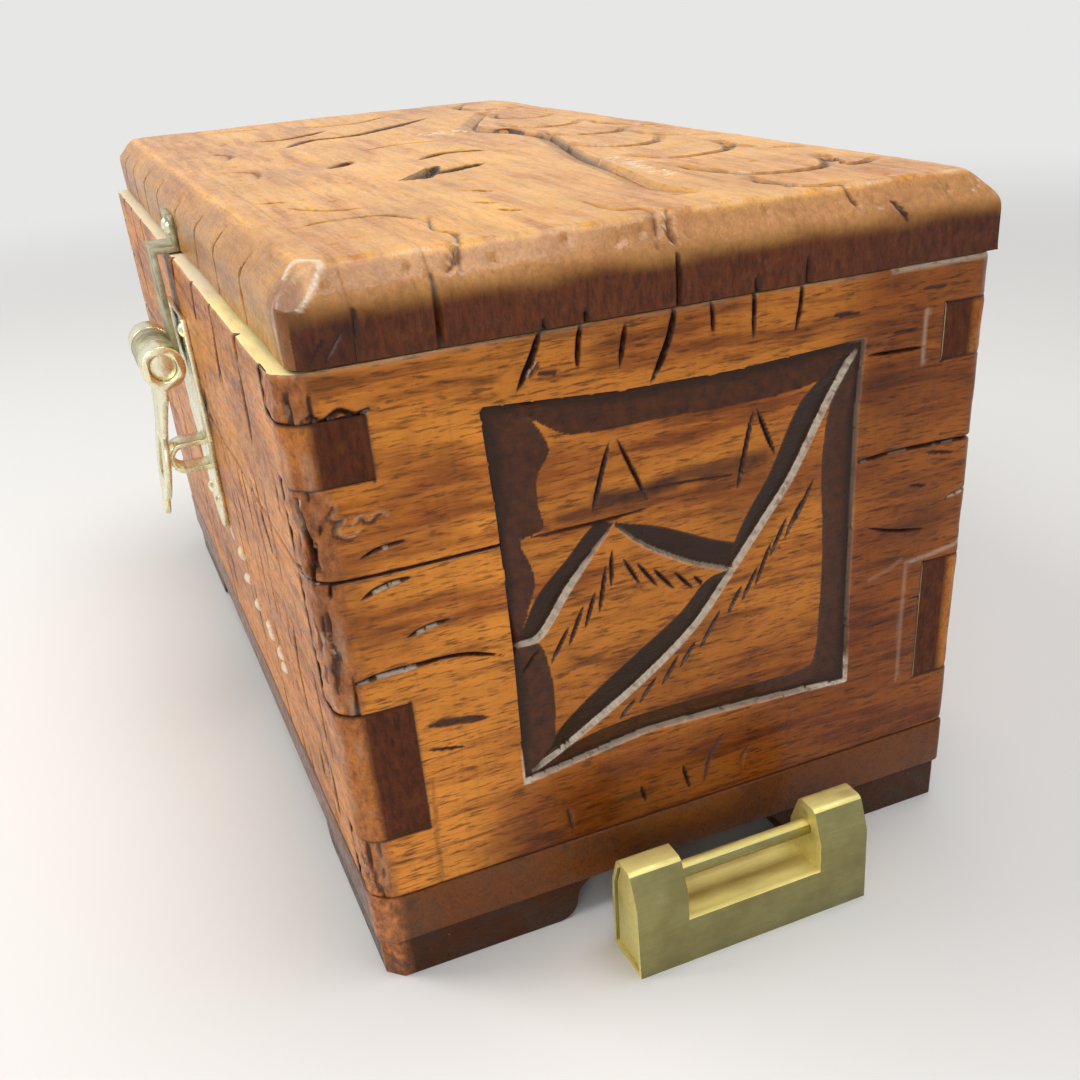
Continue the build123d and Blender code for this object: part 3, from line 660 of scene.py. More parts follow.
# Knocks about the near corner: line, width, depth, and how each is stained, worn and ended
CORNER_CUTS = [
    ([(2.0, 98.7), (4.3, 99.3), (6.0, 98.6), (8.2, 99.6), (10.4, 98.7), (12.6, 99.2), (14.3, 98.7)],
     1.1, 0.6, {"stain": 1.0}),
    ([(5.0, 97.8), (8.0, 98.2), (12.0, 97.6)], 1.6, 0.3, {"stain": 0.9}),
    ([(-0.6, 87.8), (0.2, 83.5), (0.5, 80.0), (-0.2, 75.6)],
     1.25, 1.1, {"stain": 1.0, "blunt": (0.3, 0.6)}),
    ([(-0.8, 88.4), (-0.3, 86.6)], 1.2, 0.5, {"stain": 0.2, "wear": 0.9}),
    ([(0.0, 75.9), (0.2, 70.7), (-0.6, 63.8)], 0.8, 0.4, {"stain": 0.9}),
]
# Raised curls above the plank joint
CURLS = [
    [(4.6, 88.0), (5.6, 86.6), (4.8, 85.2), (6.4, 84.6), (5.2, 83.0), (6.8, 82.0), (8.2, 82.6)],
    [(7.4, 83.6), (8.8, 84.8), (9.8, 83.8), (11.2, 84.8), (12.6, 84.0)],
]
# Pale scratches and rubbed edges at the back and round its fingers: line, wear
SCRATCHES = [
    ([(DEPTH + 0.1, 81.0), (DEPTH + 0.3, 70.0), (DEPTH - 0.2, 58.0)], 0.95),
    ([(96.0, RIM_SEEN - 0.1), (DEPTH + 0.3, RIM_SEEN - 0.1)], 0.9),
    ([(103.0, 98.0), (102.6, 94.0), (102.9, 89.6)], 0.32),
    ([(102.9, 53.0), (102.5, 42.0), (102.9, 30.0)], 0.2),
    ([(102.9, 54.0), (108.0, 54.5), (114.6, 55.4)], 0.34),
    ([(95.0, 52.6), (99.0, 53.6), (101.6, 55.0)], 0.12),
]
# Soft dark smudges of glaze: line, width, shade
SMUDGES = [
    ([(45.0, 79.0), (51.0, 78.4), (57.0, 79.0)], 1.8, 0.62),
    ([(58.0, 80.0), (66.0, 79.6), (73.0, 79.8)], 1.6, 0.45),
    ([(38.0, 77.4), (50.0, 76.8)], 1.0, 0.4),
    ([(62.0, 77.0), (72.0, 78.4)], 1.0, 0.35),
    ([(48.0, 45.6), (56.0, 46.2), (62.0, 45.6)], 1.2, 0.2),
]
# Number of small upright nicks in the near corner's torn grain
NICKS = 48


def carve_panel(relief, carving):
    """Sunk border round the field, and the mountain slopes of the square panel."""
    outer = np.vstack([SQUARE, SQUARE[:1]])
    inner = curved(np.vstack([FIELD, FIELD[:1]]), 4)
    relief.keys += [beside(outer, -0.02), beside(outer, relief.step), beside(inner, 0.02)]
    at = relief.near(SQUARE, 1.5)
    places = relief.places[at]
    along, height = places.T
    to_square, to_field = from_line(places, outer)[0], from_line(places, inner)[0]
    in_square, in_field = within(places, outer[:-1]), within(places, inner[:-1])
    border = in_square & ~in_field
    fall = to_field / np.maximum(to_field + to_square, 1e-6)
    deep = carving.panel_sink * (1 - 0.55 * smooth(84, 89, along))
    deep *= 1 - 0.3 * smooth(40, 36, height)
    relief.height[at] -= np.where(border, (deep + 0.04 * ripple(places, 3, 11)) * fall**0.8, 0)
    relief.darken(at, np.where(border, 0.74 + 0.2 * smooth(0.3, 0.9, fall), 0))
    # The square's upright edge is paled as a painted highlight, most along its foot and at its near lower
    # corner
    painted_highlight = smooth(40, 37, height) * (0.35 + 0.65 * smooth(70, 88, abs(along - 4)))
    painted_highlight = np.maximum(painted_highlight, smooth(34, 29, along) * smooth(36, 34.5, height))
    painted_highlight = np.maximum(painted_highlight, 0.55 * smooth(40, 37, height))
    painted_highlight = np.maximum(painted_highlight, 0.15 * smooth(88, 90, along))
    relief.pale(at, np.where(in_field, 0, relief.lip(to_square, border) * painted_highlight))
    for foot, brow, share, wear, ends in SLOPES:
        relief.slope(foot, brow, carving.ridge_depth * share, wear=wear, ends=ends)
    for line in HATCHES:
        relief.groove(line, 0.85, 0.45, stain=0.97)
    for line in TREES:
        relief.groove(line, 0.95, 0.55, stain=1.0)
    for line, width, shade in SMUDGES:
        at = relief.near(line, width * 2)
        away = from_line(relief.places[at], curved(line))[0]
        relief.darken(at, shade * np.exp(-((away / width) ** 2)))


def rough_corner(relief):
    """Rough, torn grain with small upright nicks on the near corner."""
    random = np.random.default_rng(63)
    rough = 0.13 * ripple(relief.places * [1, 0.4], 1.9, 61) + 0.18 * ripple(relief.places, 4.0, 62) - 0.27
    torn = smooth(6.5, 2.0, relief.places[:, 0])
    relief.height += torn * rough
    darker = torn * (0.16 + 0.3 * ripple(relief.places * [1, 0.5], 3.2, 64))
    relief.shade = np.clip(relief.shade + darker, 0, 1)
    for _ in range(NICKS):
        x, z = random.uniform(-2.0, 4.6), random.uniform(20, 104)
        line = [(x, z), (x + random.normal(0, 0.5), z - random.uniform(1.5, 7.0))]
        size = random.uniform(0.7, 1.1), random.uniform(0.25, 0.6)
        relief.groove(line, *size, stain=random.uniform(0.4, 0.95), wear=random.choice((-0.4, 0.0, 0.25)))


def end_relief(places, carving, step, seed, seen):
    """Whole carving of one end wall; the seen end has every knock and cut."""
    # The lines beside a cut's foot lie a little over one step of the mesh from it
    relief = Relief(places, step * 1.06)
    relief.height += 0.06 * ripple(places, 24, seed) + 0.015 * ripple(places, 5, seed + 1) - 0.07
    # Painted shade, with old varnish: darker towards the back and along the foot, and lighter beside the
    # panel
    along, height = relief.places.T
    shade = 0.13 + 0.27 * smooth(20, 34, along) - 0.13 * smooth(50, 42, height) * smooth(24, 16, along)
    shade += 0.25 * smooth(62, 44, height) * smooth(28, 36, along) + 0.5 * smooth(84, 94, along)
    shade += 0.6 * smooth(36, 28, height) * smooth(16, 28, along) + 0.07 * ripple(places, 18, seed + 2)
    lighter = 0.3 * smooth(24, 25.5, along) * smooth(29.5, 28, along)
    shade -= lighter * smooth(56, 59, height) * smooth(96, 93, height)
    relief.shade = np.clip(shade, 0, 1)
    carve_panel(relief, carving)
    for line, width, depth, finish in PLANK_JOINT_CUTS:
        relief.groove(line, width, depth, **finish)
    relief.cuts(END_CUTS if seen else END_CUTS[:CUTS_HIDDEN])
    if seen:
        for line, width, depth, finish in CORNER_CUTS:
            relief.groove(line, width, depth, **finish)
        for line in CURLS:
            relief.groove(beside(curved(line), -0.5), 1.0, 0.3, stain=0.5, keyed=False)
            relief.ridge(line, 0.9, 0.3, 0.14)
        relief.groove([(13.1, 38.8), (12.4, 28.0), (12.0, 17.2)], 1.5, 0.12, stain=0.3, blunt=(0.2, 1))
        rough_corner(relief)
        for line, wear in SCRATCHES:
            relief.ridge(line, 1.2, -0.08, wear)
    return relief


# Carving of the long walls: run is counted from the left end, height from the floor
# line, width, depth
FRONT_CUTS = [
    ([(118.9, 106), (114.1, 100.5)], 1.8, 1.1), ([(145.3, 106.2), (138.5, 96.8)], 1.6, 1.0),
    ([(165.5, 106.4), (163.4, 99.6), (157, 90.0)], 1.5, 0.9), ([(189.0, 106.4), (187.4, 101.0)], 1.6, 1.2),
    ([(187.0, 100.8), (185.2, 94.6), (183.2, 86.4)], 1.7, 1.1), ([(124.8, 81.8), (117.0, 70.8)], 1.6, 1.0),
    ([(188.0, 58.0), (184.0, 48.0), (183.5, 40.0)], 1.4, 0.8), ([(195.0, 36.0), (192.6, 27.5)], 1.3, 0.7),
    ([(176.0, 74.0), (181.4, 67.0)], 1.4, 0.6), ([(60.5, 106.2), (58.0, 95.0)], 1.5, 1.0),
    ([(38.5, 106.2), (36.0, 93.0)], 1.5, 1.0), ([(21.0, 106.2), (20.2, 98.5)], 1.4, 0.8),
]
# Numbers of random gouges, and the place of the latch, where the front has none
GOUGES_SEEN, GOUGES_HIDDEN = 104, 20
LATCH_ALONG, LATCH_HEIGHT = (88, 128), (40, 112)
# Drops painted pale as glints: along, height, radius, bulge; the first is too near the latch plate to bulge
DROPS = [
    (114.0, 45.8, 1.3, 0.0), (129.0, 46.9, 1.4, 1.0), (129.4, 41.1, 1.2, 0.9), (138.0, 38.7, 1.15, 0.9),
    (152.2, 40.3, 1.0, 0.8), (153.6, 38.8, 1.0, 0.8), (161.6, 38.6, 1.2, 0.9), (163.4, 36.4, 1.1, 0.9),
]
# The part of the front that holds them, and the mesh's spacing there
DROPS_ALONG, DROPS_HEIGHT, DROPS_STEP = (110, 168), (34, 50), 0.36


def front_relief(places, step, seed, seen):
    """Upright gouges and plank lines of a long wall."""
    relief = Relief(places, step)
    random = np.random.default_rng(seed)
    run, height = relief.places.T
    relief.height += 0.09 * ripple(places, 20, seed)
    relief.height += 0.03 * ripple(places * [1, 0.25], 4.5, seed + 1) - 0.1
    for line, width, depth in FRONT_CUTS if seen else ():
        relief.groove(line, width * 1.7, depth * 1.2, stain=0.97, wear=0.5)
    for _ in range(GOUGES_SEEN if seen else GOUGES_HIDDEN):
        x, z = random.uniform(6, 210), random.uniform(24, 98)
        tall = random.uniform(5, 19)
        line = [(x, z), (x + random.normal(0, 0.7), z - tall)]
        shape = random.uniform(1.2, 2.8), random.uniform(0.25, 0.75), random.uniform(0.3, 0.9)
        on_latch = LATCH_ALONG[0] < x < LATCH_ALONG[1] and LATCH_HEIGHT[0] < z < LATCH_HEIGHT[1]
        if not (seen and on_latch):
            relief.groove(line, *shape, wear=random.choice((0.0, 0.35, -0.35)))
    joint = ((-12, 0), (60, 0.4), (150, -0.2), (LENGTH + 12, 0))
    joint = [(place, PLANK_JOINT + rise) for place, rise in joint]
    relief.groove(joint, 0.8, 0.45, stain=0.85, blunt=(1, 1))
    if seen:
        # The ground under the latch plate is flat, a little below the board's face
        plate_zone = smooth(16, 12, abs(run - LENGTH / 2)) * smooth(40, 44, height)
        plate_zone *= smooth(100, 96, height)
        relief.height = np.minimum(relief.height, 0) * (1 - plate_zone) - 0.05 * plate_zone
        relief.drops(DROPS)
    return relief


def turned(bevel):
    """Run round a bevelled corner past the face that it ends."""
    return bevel * (math.sqrt(2) - 1)


def edge_wear(relief, bevels, seed):
    """Rounded, paled edges at the rim, the foot and the bevelled corners of a wall."""
    along, height = relief.places.T
    patch = 0.5 + 0.5 * ripple(np.column_stack([along * 0.5, height]), 9, seed)
    top = np.clip(1 - (RIM_SEEN - height) / 0.6, 0, 1)
    foot = np.clip(1 - (height - BASE_TOP) / 0.8, 0, 1)
    relief.height -= 0.25 * top**2 + 0.35 * foot**2
    relief.pale(slice(None), 0.5 * top * patch)
    relief.darken(slice(None), 0.55 * foot)
    for start, end in bevels:
        for corner in (start, end):
            near = np.exp(-(((along - corner) / 0.8) ** 2))
            relief.pale(slice(None), 0.2 * near * smooth(0.35, 0.95, patch))
            relief.height -= 0.12 * near * patch
        reach_in = 0.9 * (patch - 0.5)
        more = 0.45 * (end - start)
        rubbed = smooth(start - more - 1, start - more + 0.4, along + reach_in)
        rubbed *= smooth(end + more + 1, end + more - 0.4, along + reach_in)
        relief.rub = np.maximum(relief.rub, rubbed)


def on_finger(height):
    """Whether a height lies in one of the corner joints' fingers."""
    return any(low < height < high for low, high in FINGERS)


def bare_inside(axis, place):
    """Picker of the faces on the rim and on this inner plane."""

    def bare(middle, normal):
        return (normal.z > 0.9 and middle.z > RIM - 1) or abs(middle[axis] - place) < 0.01

    return bare


# The part of an end wall round its panel, which has the finest mesh, and the mesh's spacing
# in front of it, behind it, and above and below it
PANEL_ALONG, PANEL_HEIGHT = (27.0, 92.0), (32.0, 97.0)
NEAR_STEP, FAR_STEP, BAND_STEP = 0.5, 0.62, 0.46


def end_wall(side, carving):
    """Carve the right or the left wall."""
    seen, fine = side == "right", carving.panel_step
    outer, inner, sign = (RIGHT, RIGHT_INNER, 1) if seen else (LEFT, LEFT_INNER, -1)
    plan = [
        (inner, FRONT), (outer - sign * CORNER, FRONT), (outer, FRONT + CORNER),
        (outer, BACK - BACK_CORNER), (outer - sign * BACK_CORNER, BACK), (inner, BACK),
    ]
    lip = END_DEEP - CORNER + turned(CORNER)
    total = lip + DEPTH + END_DEEP - BACK_CORNER + turned(BACK_CORNER)
    levels = sorted([BASE_TOP, RIM_SEEN, *PANEL_HEIGHT, *FINGER_ENDS])
    level_steps = [
        fine if PANEL_HEIGHT[0] <= low and high <= PANEL_HEIGHT[1] else BAND_STEP
        for low, high in zip(levels, levels[1:])
    ]
    corners = ((-turned(CORNER), CORNER), (DEPTH - BACK_CORNER, DEPTH + turned(BACK_CORNER)))
    joints = []
    for low, high in FINGERS:
        for outside, end in ((-14, FRONT_DEEP), (DEPTH + 14, DEPTH - BACK_DEEP)):
            joints += [[(outside, level), (end, level)] for level in (low, high)]
            joints += [[(end, low), (end, high)]]

    def spread(place):
        if PANEL_ALONG[0] < place < PANEL_ALONG[1]:
            return fine
        return NEAR_STEP if place < PANEL_ALONG[0] else FAR_STEP

    def relief(places, step):
        carved = end_relief(places, carving, step, SEEDS[side], seen)
        edge_wear(carved, corners, 31)
        joint_dips(carved, joints)
        return carved

    def absent(place):
        return on_finger(place[1]) and not FRONT_DEEP < place[0] < DEPTH - BACK_DEEP

    bm = board_wall(plan, sign, lip, total, (FRONT_DEEP, *PANEL_ALONG, DEPTH - BACK_DEEP), spread,
                    levels, level_steps, X, inner, relief, absent)
    finish_piece(bm, f"{side}_wall_carved", "case", [paint("end_board"), paint("bare_rim")],
                 [f"{side}_wall"], bare=bare_inside(X, inner))


def long_wall(side, plain):
    """Carve the front or the back wall; plain is the mesh's spacing away from the drops."""
    seen = side == "front"
    if seen:
        outer, inner, deep, sign, bevel = FRONT, FRONT_INNER, FRONT_DEEP, 1, CORNER
    else:
        outer, inner, deep, sign, bevel = BACK, BACK_INNER, BACK_DEEP, -1, BACK_CORNER
    plan = [
        (LEFT, inner), (LEFT, outer + sign * bevel), (LEFT + bevel, outer),
        (RIGHT - bevel, outer), (RIGHT, outer + sign * bevel), (RIGHT, inner),
    ]
    lip = deep - bevel + turned(bevel)
    drops_along, drops_height = (DROPS_ALONG, DROPS_HEIGHT) if seen else ((), ())
    levels = sorted([BASE_TOP, RIM_SEEN, *FINGER_ENDS, *drops_height])
    level_steps = [
        DROPS_STEP if seen and DROPS_HEIGHT[0] <= low < DROPS_HEIGHT[1] else plain for low in levels[:-1]
    ]
    corners = ((-turned(bevel), bevel), (LENGTH - bevel, LENGTH + turned(bevel)))
    joints = []
    for low, high in FINGERS:
        for outside, end in ((-deep - 4, END_DEEP), (LENGTH + deep + 4, LENGTH - END_DEEP)):
            joints += [[(outside, level), (end, level)] for level in (low, high)]
    between = [BASE_TOP, *FINGER_ENDS, RIM_SEEN]
    for low, high in zip(between[::2], between[1::2]):
        joints += [[(place, low), (place, high)] for place in (END_DEEP, LENGTH - END_DEEP)]

    def spread(place):
        return DROPS_STEP if seen and DROPS_ALONG[0] < place < DROPS_ALONG[1] else plain

    def relief(places, step):
        carved = front_relief(places, step, SEEDS[side], seen)
        edge_wear(carved, corners, 37)
        joint_dips(carved, joints)
        carved.cross = smooth(1.5, 3.2, np.maximum(-places[:, 0], places[:, 0] - LENGTH))
        return carved

    def absent(place):
        return not on_finger(place[1]) and not END_DEEP < place[0] < LENGTH - END_DEEP

    bm = board_wall(plan, sign, lip, 2 * lip + LENGTH, (END_DEEP, LENGTH - END_DEEP, *drops_along), spread,
                    levels, level_steps, Y, inner, relief, absent)
    finish_piece(bm, f"{side}_wall_carved", "case", [paint("long_board"), paint("bare_rim")],
                 [f"{side}_wall"], bare=bare_inside(Y, inner))


class KEEPSAKE_OT_walls(bpy.types.Operator):
    """Carve the four walls, with their panels, cuts and finger joints."""

    bl_idname = "keepsake.walls"
    bl_label = "Walls"

    def execute(self, context):
        carving = context.scene.keepsake_carving
        end_wall("right", carving)
        end_wall("left", carving)
        long_wall("front", carving.board_step)
        long_wall("back", carving.board_step * 1.5)
        return {"FINISHED"}


# Materials
paints = {}


def paint(name):
    """Material of this name, made the first time it is asked for."""
    if name not in paints:
        paints[name] = RECIPES[name](name)
    return paints[name]


class Shader:
    """Node tree of a new material."""

    def __init__(self, name):
        self.material = bpy.data.materials.new(name)
        self.material.use_nodes = True
        self.tree = self.material.node_tree
        self.tree.nodes.clear()

    def node(self, kind, inputs=None, **settings):
        """New node; inputs are numbers, colours or the sockets that feed it."""
        made = self.tree.nodes.new("ShaderNode" + kind)
        for key, value in settings.items():
            setattr(made, key, value)
        for key, value in (inputs or {}).items():
            self.feed(made.inputs[key], value)
        return made

    def feed(self, socket, value):
        """Join another socket to this one, or set its number or colour."""
        if isinstance(value, bpy.types.NodeSocket):
            self.tree.links.new(value, socket)
        else:
            socket.default_value = value

    def noise(self, coords, scale, stretch, detail, rough, distortion=0.0, shift=(0, 0, 0)):
        """Noise whose cells are about 1/scale millimetres, stretched per axis."""
        size = [scale / MM * s for s in stretch]
        moved = self.node("Mapping", {"Vector": coords, "Scale": size, "Location": shift})
        return self.node("TexNoise", {
            "Vector": moved.outputs[0], "Scale": 1.0, "Detail": detail,
            "Roughness": rough, "Distortion": distortion,
        }).outputs["Fac"]

    def math(self, operation, a, b, clamp=False):
        """Result of one sum."""
        return self.node("Math", {0: a, 1: b}, operation=operation, use_clamp=clamp).outputs[0]

    def span(self, value, low, high, out_low=0.0, out_high=1.0):
        """Value stretched from one span to another and held to it."""
        return self.node("MapRange", {
            "Value": value, "From Min": low, "From Max": high, "To Min": out_low, "To Max": out_high,
        }, interpolation_type="SMOOTHSTEP").outputs[0]

    def mix(self, factor, a, b, blend="MIX"):
        """Two colours mixed."""
        made = self.node("Mix", data_type="RGBA", blend_type=blend)
        for number, value in ((0, factor), (6, a), (7, b)):
            self.feed(made.inputs[number], value)
        return made.outputs[2]

    def bump(self, height, strength, distance):
        """Normal that stands for a fine relief, distance metres high."""
        return self.node("Bump", {"Height": height, "Strength": strength, "Distance": distance}).outputs[0]

    def ramp(self, value, stops):
        """Colour ramp with these places and colours."""
        made = self.node("ValToRGB", {"Fac": value})
        band = made.color_ramp
        while len(band.elements) > 1:
            band.elements.remove(band.elements[-1])
        band.elements[0].position, band.elements[0].color = stops[0]
        for place, colour in stops[1:]:
            band.elements.new(place).color = colour
        return made.outputs["Color"]

    def finish(self, surface):
        """Join the surface to the output."""
        self.node("OutputMaterial", {"Surface": surface})
        return self.material


def solid(colour, gain=1.0):
    """Colour of a property with alpha, made lighter or darker."""
    return tuple(min(1.0, channel * gain) for channel in colour) + (1.0,)


def varnished(
    grain, pale="gold", deep="brown", gain=1.0, flecks=1.0, ends=1.0, rubs=1.0, dusty=0.0, gloss=1.0,
    mottle=0.4, rubbed="corner", bark=0.45,
):
    """Recipe of varnished wood whose grain runs along this axis.

    pale, deep and rubbed name colours of the wood's property group. gain, ends and rubs
    lighten the grain, the end grain and the rubbed corners. flecks, dusty and gloss are how
    much it has of each. mottle is the least cover of the rubbed colour, bark its unevenness.
    """

    def make(name):
        look = bpy.context.scene.keepsake_wood
        s = Shader(name)
        coords = s.node("TexCoord").outputs["Object"]

        def lengthwise(share):
            return [share if axis == grain else 1.0 for axis in range(3)]

        bands = s.noise(coords, 0.11, lengthwise(0.16), 3, 0.5, 0.6, shift=(3, 7, 1))
        streak = s.noise(coords, 0.50, lengthwise(0.10), 4, 0.6, 0.4, shift=(1, 5, 9))
        fleck = s.noise(coords, 1.9, lengthwise(0.13), 5, 0.62, 0.2)
        cloud = s.noise(coords, 0.055, lengthwise(0.6), 4, 0.6, 0.5, shift=(11, 2, 5))
        pores = s.noise(coords, 2.6, lengthwise(0.10), 3, 0.5, shift=(1, 9, 4))
        chatter = s.noise(coords, 0.8, [0.08 if axis != grain else 1.0 for axis in range(3)], 2, 0.5)
        uneven = s.noise(coords, 0.55, (1, 1, 1), 5, 0.62)
        light, brown, dark = getattr(look, pale), getattr(look, deep), solid(look.fleck, gain)
        colour = solid(brown, gain)
        for grown, low, high, cover, over in (
            (bands, 0.36, 0.60, 1.0, solid(light, gain)),
            (streak, 0.42, 0.62, 0.55, solid(light, gain * 1.12)),
            (streak, 0.48, 0.30, 0.8 * flecks, solid(brown, gain * 0.5)),
            (fleck, 0.50, 0.66, 0.72 * flecks, dark),
            (pores, 0.58, 0.70, 0.36 * flecks, dark),
            (cloud, 0.50, 0.72, 0.55 * flecks, solid(brown, gain * 0.45)),
            (chatter, 0.52, 0.72, 0.10 * flecks, dark),
        ):
            colour = s.mix(s.span(grown, low, high, 0, cover), colour, over)
        # Rubbed corners turn redder, end grain is dark, the shade layer lays painted shade and old varnish,
        # glaze lies in the cuts, and pale worn wood and painted highlights lie on edges and banks
        stain, wear, rub, cross, shade = (
            s.node("Attribute", attribute_name=layer).outputs["Fac"] for layer in LAYERS
        )
        torn = s.noise(coords, 1.0, (1, 1, 0.55), 6, 0.68, 0.4, shift=(4, 4, 4))
        bared = solid(getattr(look, rubbed), gain * rubs)[:3]
        barks = ((0.36, 1 - bark), (0.5, 1.0), (0.64, 1 + bark))
        bared = s.ramp(torn, [(place, solid(bared, tone)) for place, tone in barks])
        colour = s.mix(s.math("MULTIPLY", rub, s.span(uneven, 0.34, 0.60, mottle, 0.95)), colour, bared)
        speckle = s.noise(coords, 1.0, (1, 1, 0.35), 6, 0.7)
        tones = ((0.36, 0.5), (0.52, 1.0), (0.68, 1.4))
        end_colour = s.ramp(speckle, [(place, solid(look.end_grain, tone * ends)) for place, tone in tones])
        end = s.math("MULTIPLY", cross, s.span(uneven, 0.28, 0.50, 0.95, 1.0))
        colour = s.mix(end, colour, end_colour)
        # Painted shade, with old varnish, from the shade layer
        colour = s.mix(1.0, colour, s.mix(shade, (1, 1, 1, 1), (0.40, 0.29, 0.18, 1)), "MULTIPLY")
        glazed = s.mix(s.span(uneven, 0.36, 0.66), solid(look.glaze, 0.72), solid(look.glaze, 1.45))
        glazed = s.mix(s.span(stain, 0.84, 0.98), glazed, (0.010, 0.0035, 0.002, 1))
        colour = s.mix(s.span(stain, 0.0, 0.7, 0, 0.97), colour, glazed)
        # Pale worn wood, and painted highlights and glints
        worn = s.math("MULTIPLY", wear, s.span(uneven, 0.30, 0.50, 0.45, 1.0), clamp=True)
        colour = s.mix(worn, colour, solid(look.worn))
        if dusty:
            dust = s.noise(coords, 0.20, (1, 1, 1), 6, 0.7)
            colour = s.mix(s.span(dust, 0.44, 0.64, 0, dusty), colour, (0.05, 0.034, 0.026, 1))
            specks = s.noise(coords, 1.3, (1, 1, 1), 2, 0.5, shift=(5, 5, 5))
            colour = s.mix(s.span(specks, 0.72, 0.77, 0, dusty), colour, (0.34, 0.30, 0.26, 1))
        dull = s.math("MULTIPLY", cross, 0.16)
        roughness = s.math("ADD", s.span(uneven, 0.30, 0.70, 0.26, 0.50), dull)
        height = s.math("MULTIPLY", fleck, -0.9)
        for grown, rise in ((pores, -0.5), (uneven, 0.7), (chatter, 0.4)):
            height = s.math("ADD", height, s.math("MULTIPLY", grown, rise))
        bump = s.bump(height, 1.0, 0.00016)
        surface = s.node("BsdfPrincipled", {
            "Base Color": colour, "Roughness": roughness, "Normal": bump, "Specular IOR Level": 0.15,
            "Coat Weight": look.gloss * gloss, "Coat Roughness": 0.14,
        })
        return s.finish(surface.outputs[0])

    return make


def bare_wood(name):
    """Unvarnished wood inside the box and on its rim."""
    look = bpy.context.scene.keepsake_wood
    s = Shader(name)
    coords = s.node("TexCoord").outputs["Object"]
    fibre = s.noise(coords, 0.9, (0.08, 0.5, 1), 5, 0.6)
    tone = s.ramp(fibre, [(0.35, solid(look.bare, 0.72)), (0.62, solid(look.bare, 1.0))])
    # Bleached along the front of the rim, and still yellow near its right-hand corner
    split = s.node("SeparateXYZ", {0: coords}).outputs
    bleached = s.span(split["X"], 0.028, 0.053, 0.85, 0.0)
    on_front = s.span(split["Y"], FRONT_INNER * MM, (FRONT_INNER + 2) * MM, 1.0, 0.0)
    bleached = s.math("MULTIPLY", bleached, on_front)
    bleached = s.math("MULTIPLY", bleached, s.span(split["Z"], (RIM - 5) * MM, (RIM - 1) * MM))
    tone = s.mix(bleached, tone, (0.74, 0.64, 0.47, 1))
    bump = s.bump(fibre, 0.8, 0.0002)
    surface = s.node("BsdfPrincipled", {"Base Color": tone, "Roughness": 0.72, "Normal": bump})
    return s.finish(surface.outputs[0])


def brass(gain=1.0, rough=0.3, tarnished=0.35, brushed=(1, 1, 1), clean="bright"):
    """Recipe of worn brass.

    gain lightens it, rough and tarnished are how much so it is, brushed stretches its fine
    marks along each axis, and clean names its colour in the brass's property group.
    """

    def make(name):
        look = bpy.context.scene.keepsake_brass
        s = Shader(name)
        coords = s.node("TexCoord").outputs["Object"]
        cloud = s.noise(coords, 0.16, (1, 1, 1), 5, 0.62)
        fine = s.noise(coords, 1.4, brushed, 4, 0.6)
        metal = getattr(look, clean)
        cover = s.math("MULTIPLY", s.span(cloud, 0.40, 0.66), tarnished)
        colour = s.mix(cover, solid(metal, gain), solid(look.tarnish))
        colour = s.mix(s.span(fine, 0.30, 0.70, 0.0, 0.22), colour, solid(metal, gain * 0.62))
        roughness = s.span(s.math("ADD", s.math("MULTIPLY", cloud, 0.6), s.math("MULTIPLY", fine, 0.4)),
                           0.25, 0.75, rough * 0.75, rough * 1.45)
        bump = s.bump(fine, 0.5, 0.00006)
        surface = s.node("BsdfPrincipled", {
            "Base Color": colour, "Metallic": 1.0, "Roughness": roughness, "Normal": bump,
        })
        return s.finish(surface.outputs[0])

    return make


RECIPES = {
    "end_board": varnished(Y, rubs=1.12),
    "long_board": varnished(X, gain=0.86, flecks=0.8, ends=1.19, rubs=1.3, gloss=0.3),
    "lid_board": varnished(
        X, "honey", "amber", flecks=0.35, ends=1.5, mottle=0.75, rubbed="bevel", bark=0.2,
    ),
    "base_board": varnished(X, "brown", "corner", gain=0.42, flecks=0.6, ends=0.5, rubs=3.2),
    # The feet are made far darker than the other boards, their dust patches too: painted shade under the
    # box; the pale specks are dust
    "foot_board": varnished(
        X, "brown", "corner", gain=0.16, flecks=0.4, ends=0.6, rubs=8.0, dusty=0.55, gloss=0.3,
    ),
    "bare_rim": bare_wood,
    "hinge_brass": brass(rough=0.34, tarnished=0.5),
    "hasp_brass": brass(rough=0.24, tarnished=0.22),
    "strap_brass": brass(gain=0.55, rough=0.5, tarnished=0.9),
    "lock_brass": brass(rough=0.62, tarnished=0.04, brushed=(1, 0.12, 1), clean="lock"),
    # The lock's sides are darker than its top and ends: a painted dark reflection
    "lock_side": brass(gain=0.34, rough=0.30, tarnished=0.4, brushed=(1, 0.12, 1), clean="lock"),
    "lock_inside": brass(gain=0.7, rough=0.45, tarnished=0.6),
}


def rounded(bm, edges, width, segments):
    """Round these edges."""
    bmesh.ops.bevel(bm, geom=edges, offset=width, segments=segments, profile=0.5, affect="EDGES",
                    material=-1, clamp_overlap=True)


# Edges that turn by more than this many degrees are rounded
WORN_ANGLE = 30
SHOULDER_WIDTH, SHOULDER_TURN = 0.9, 0.5


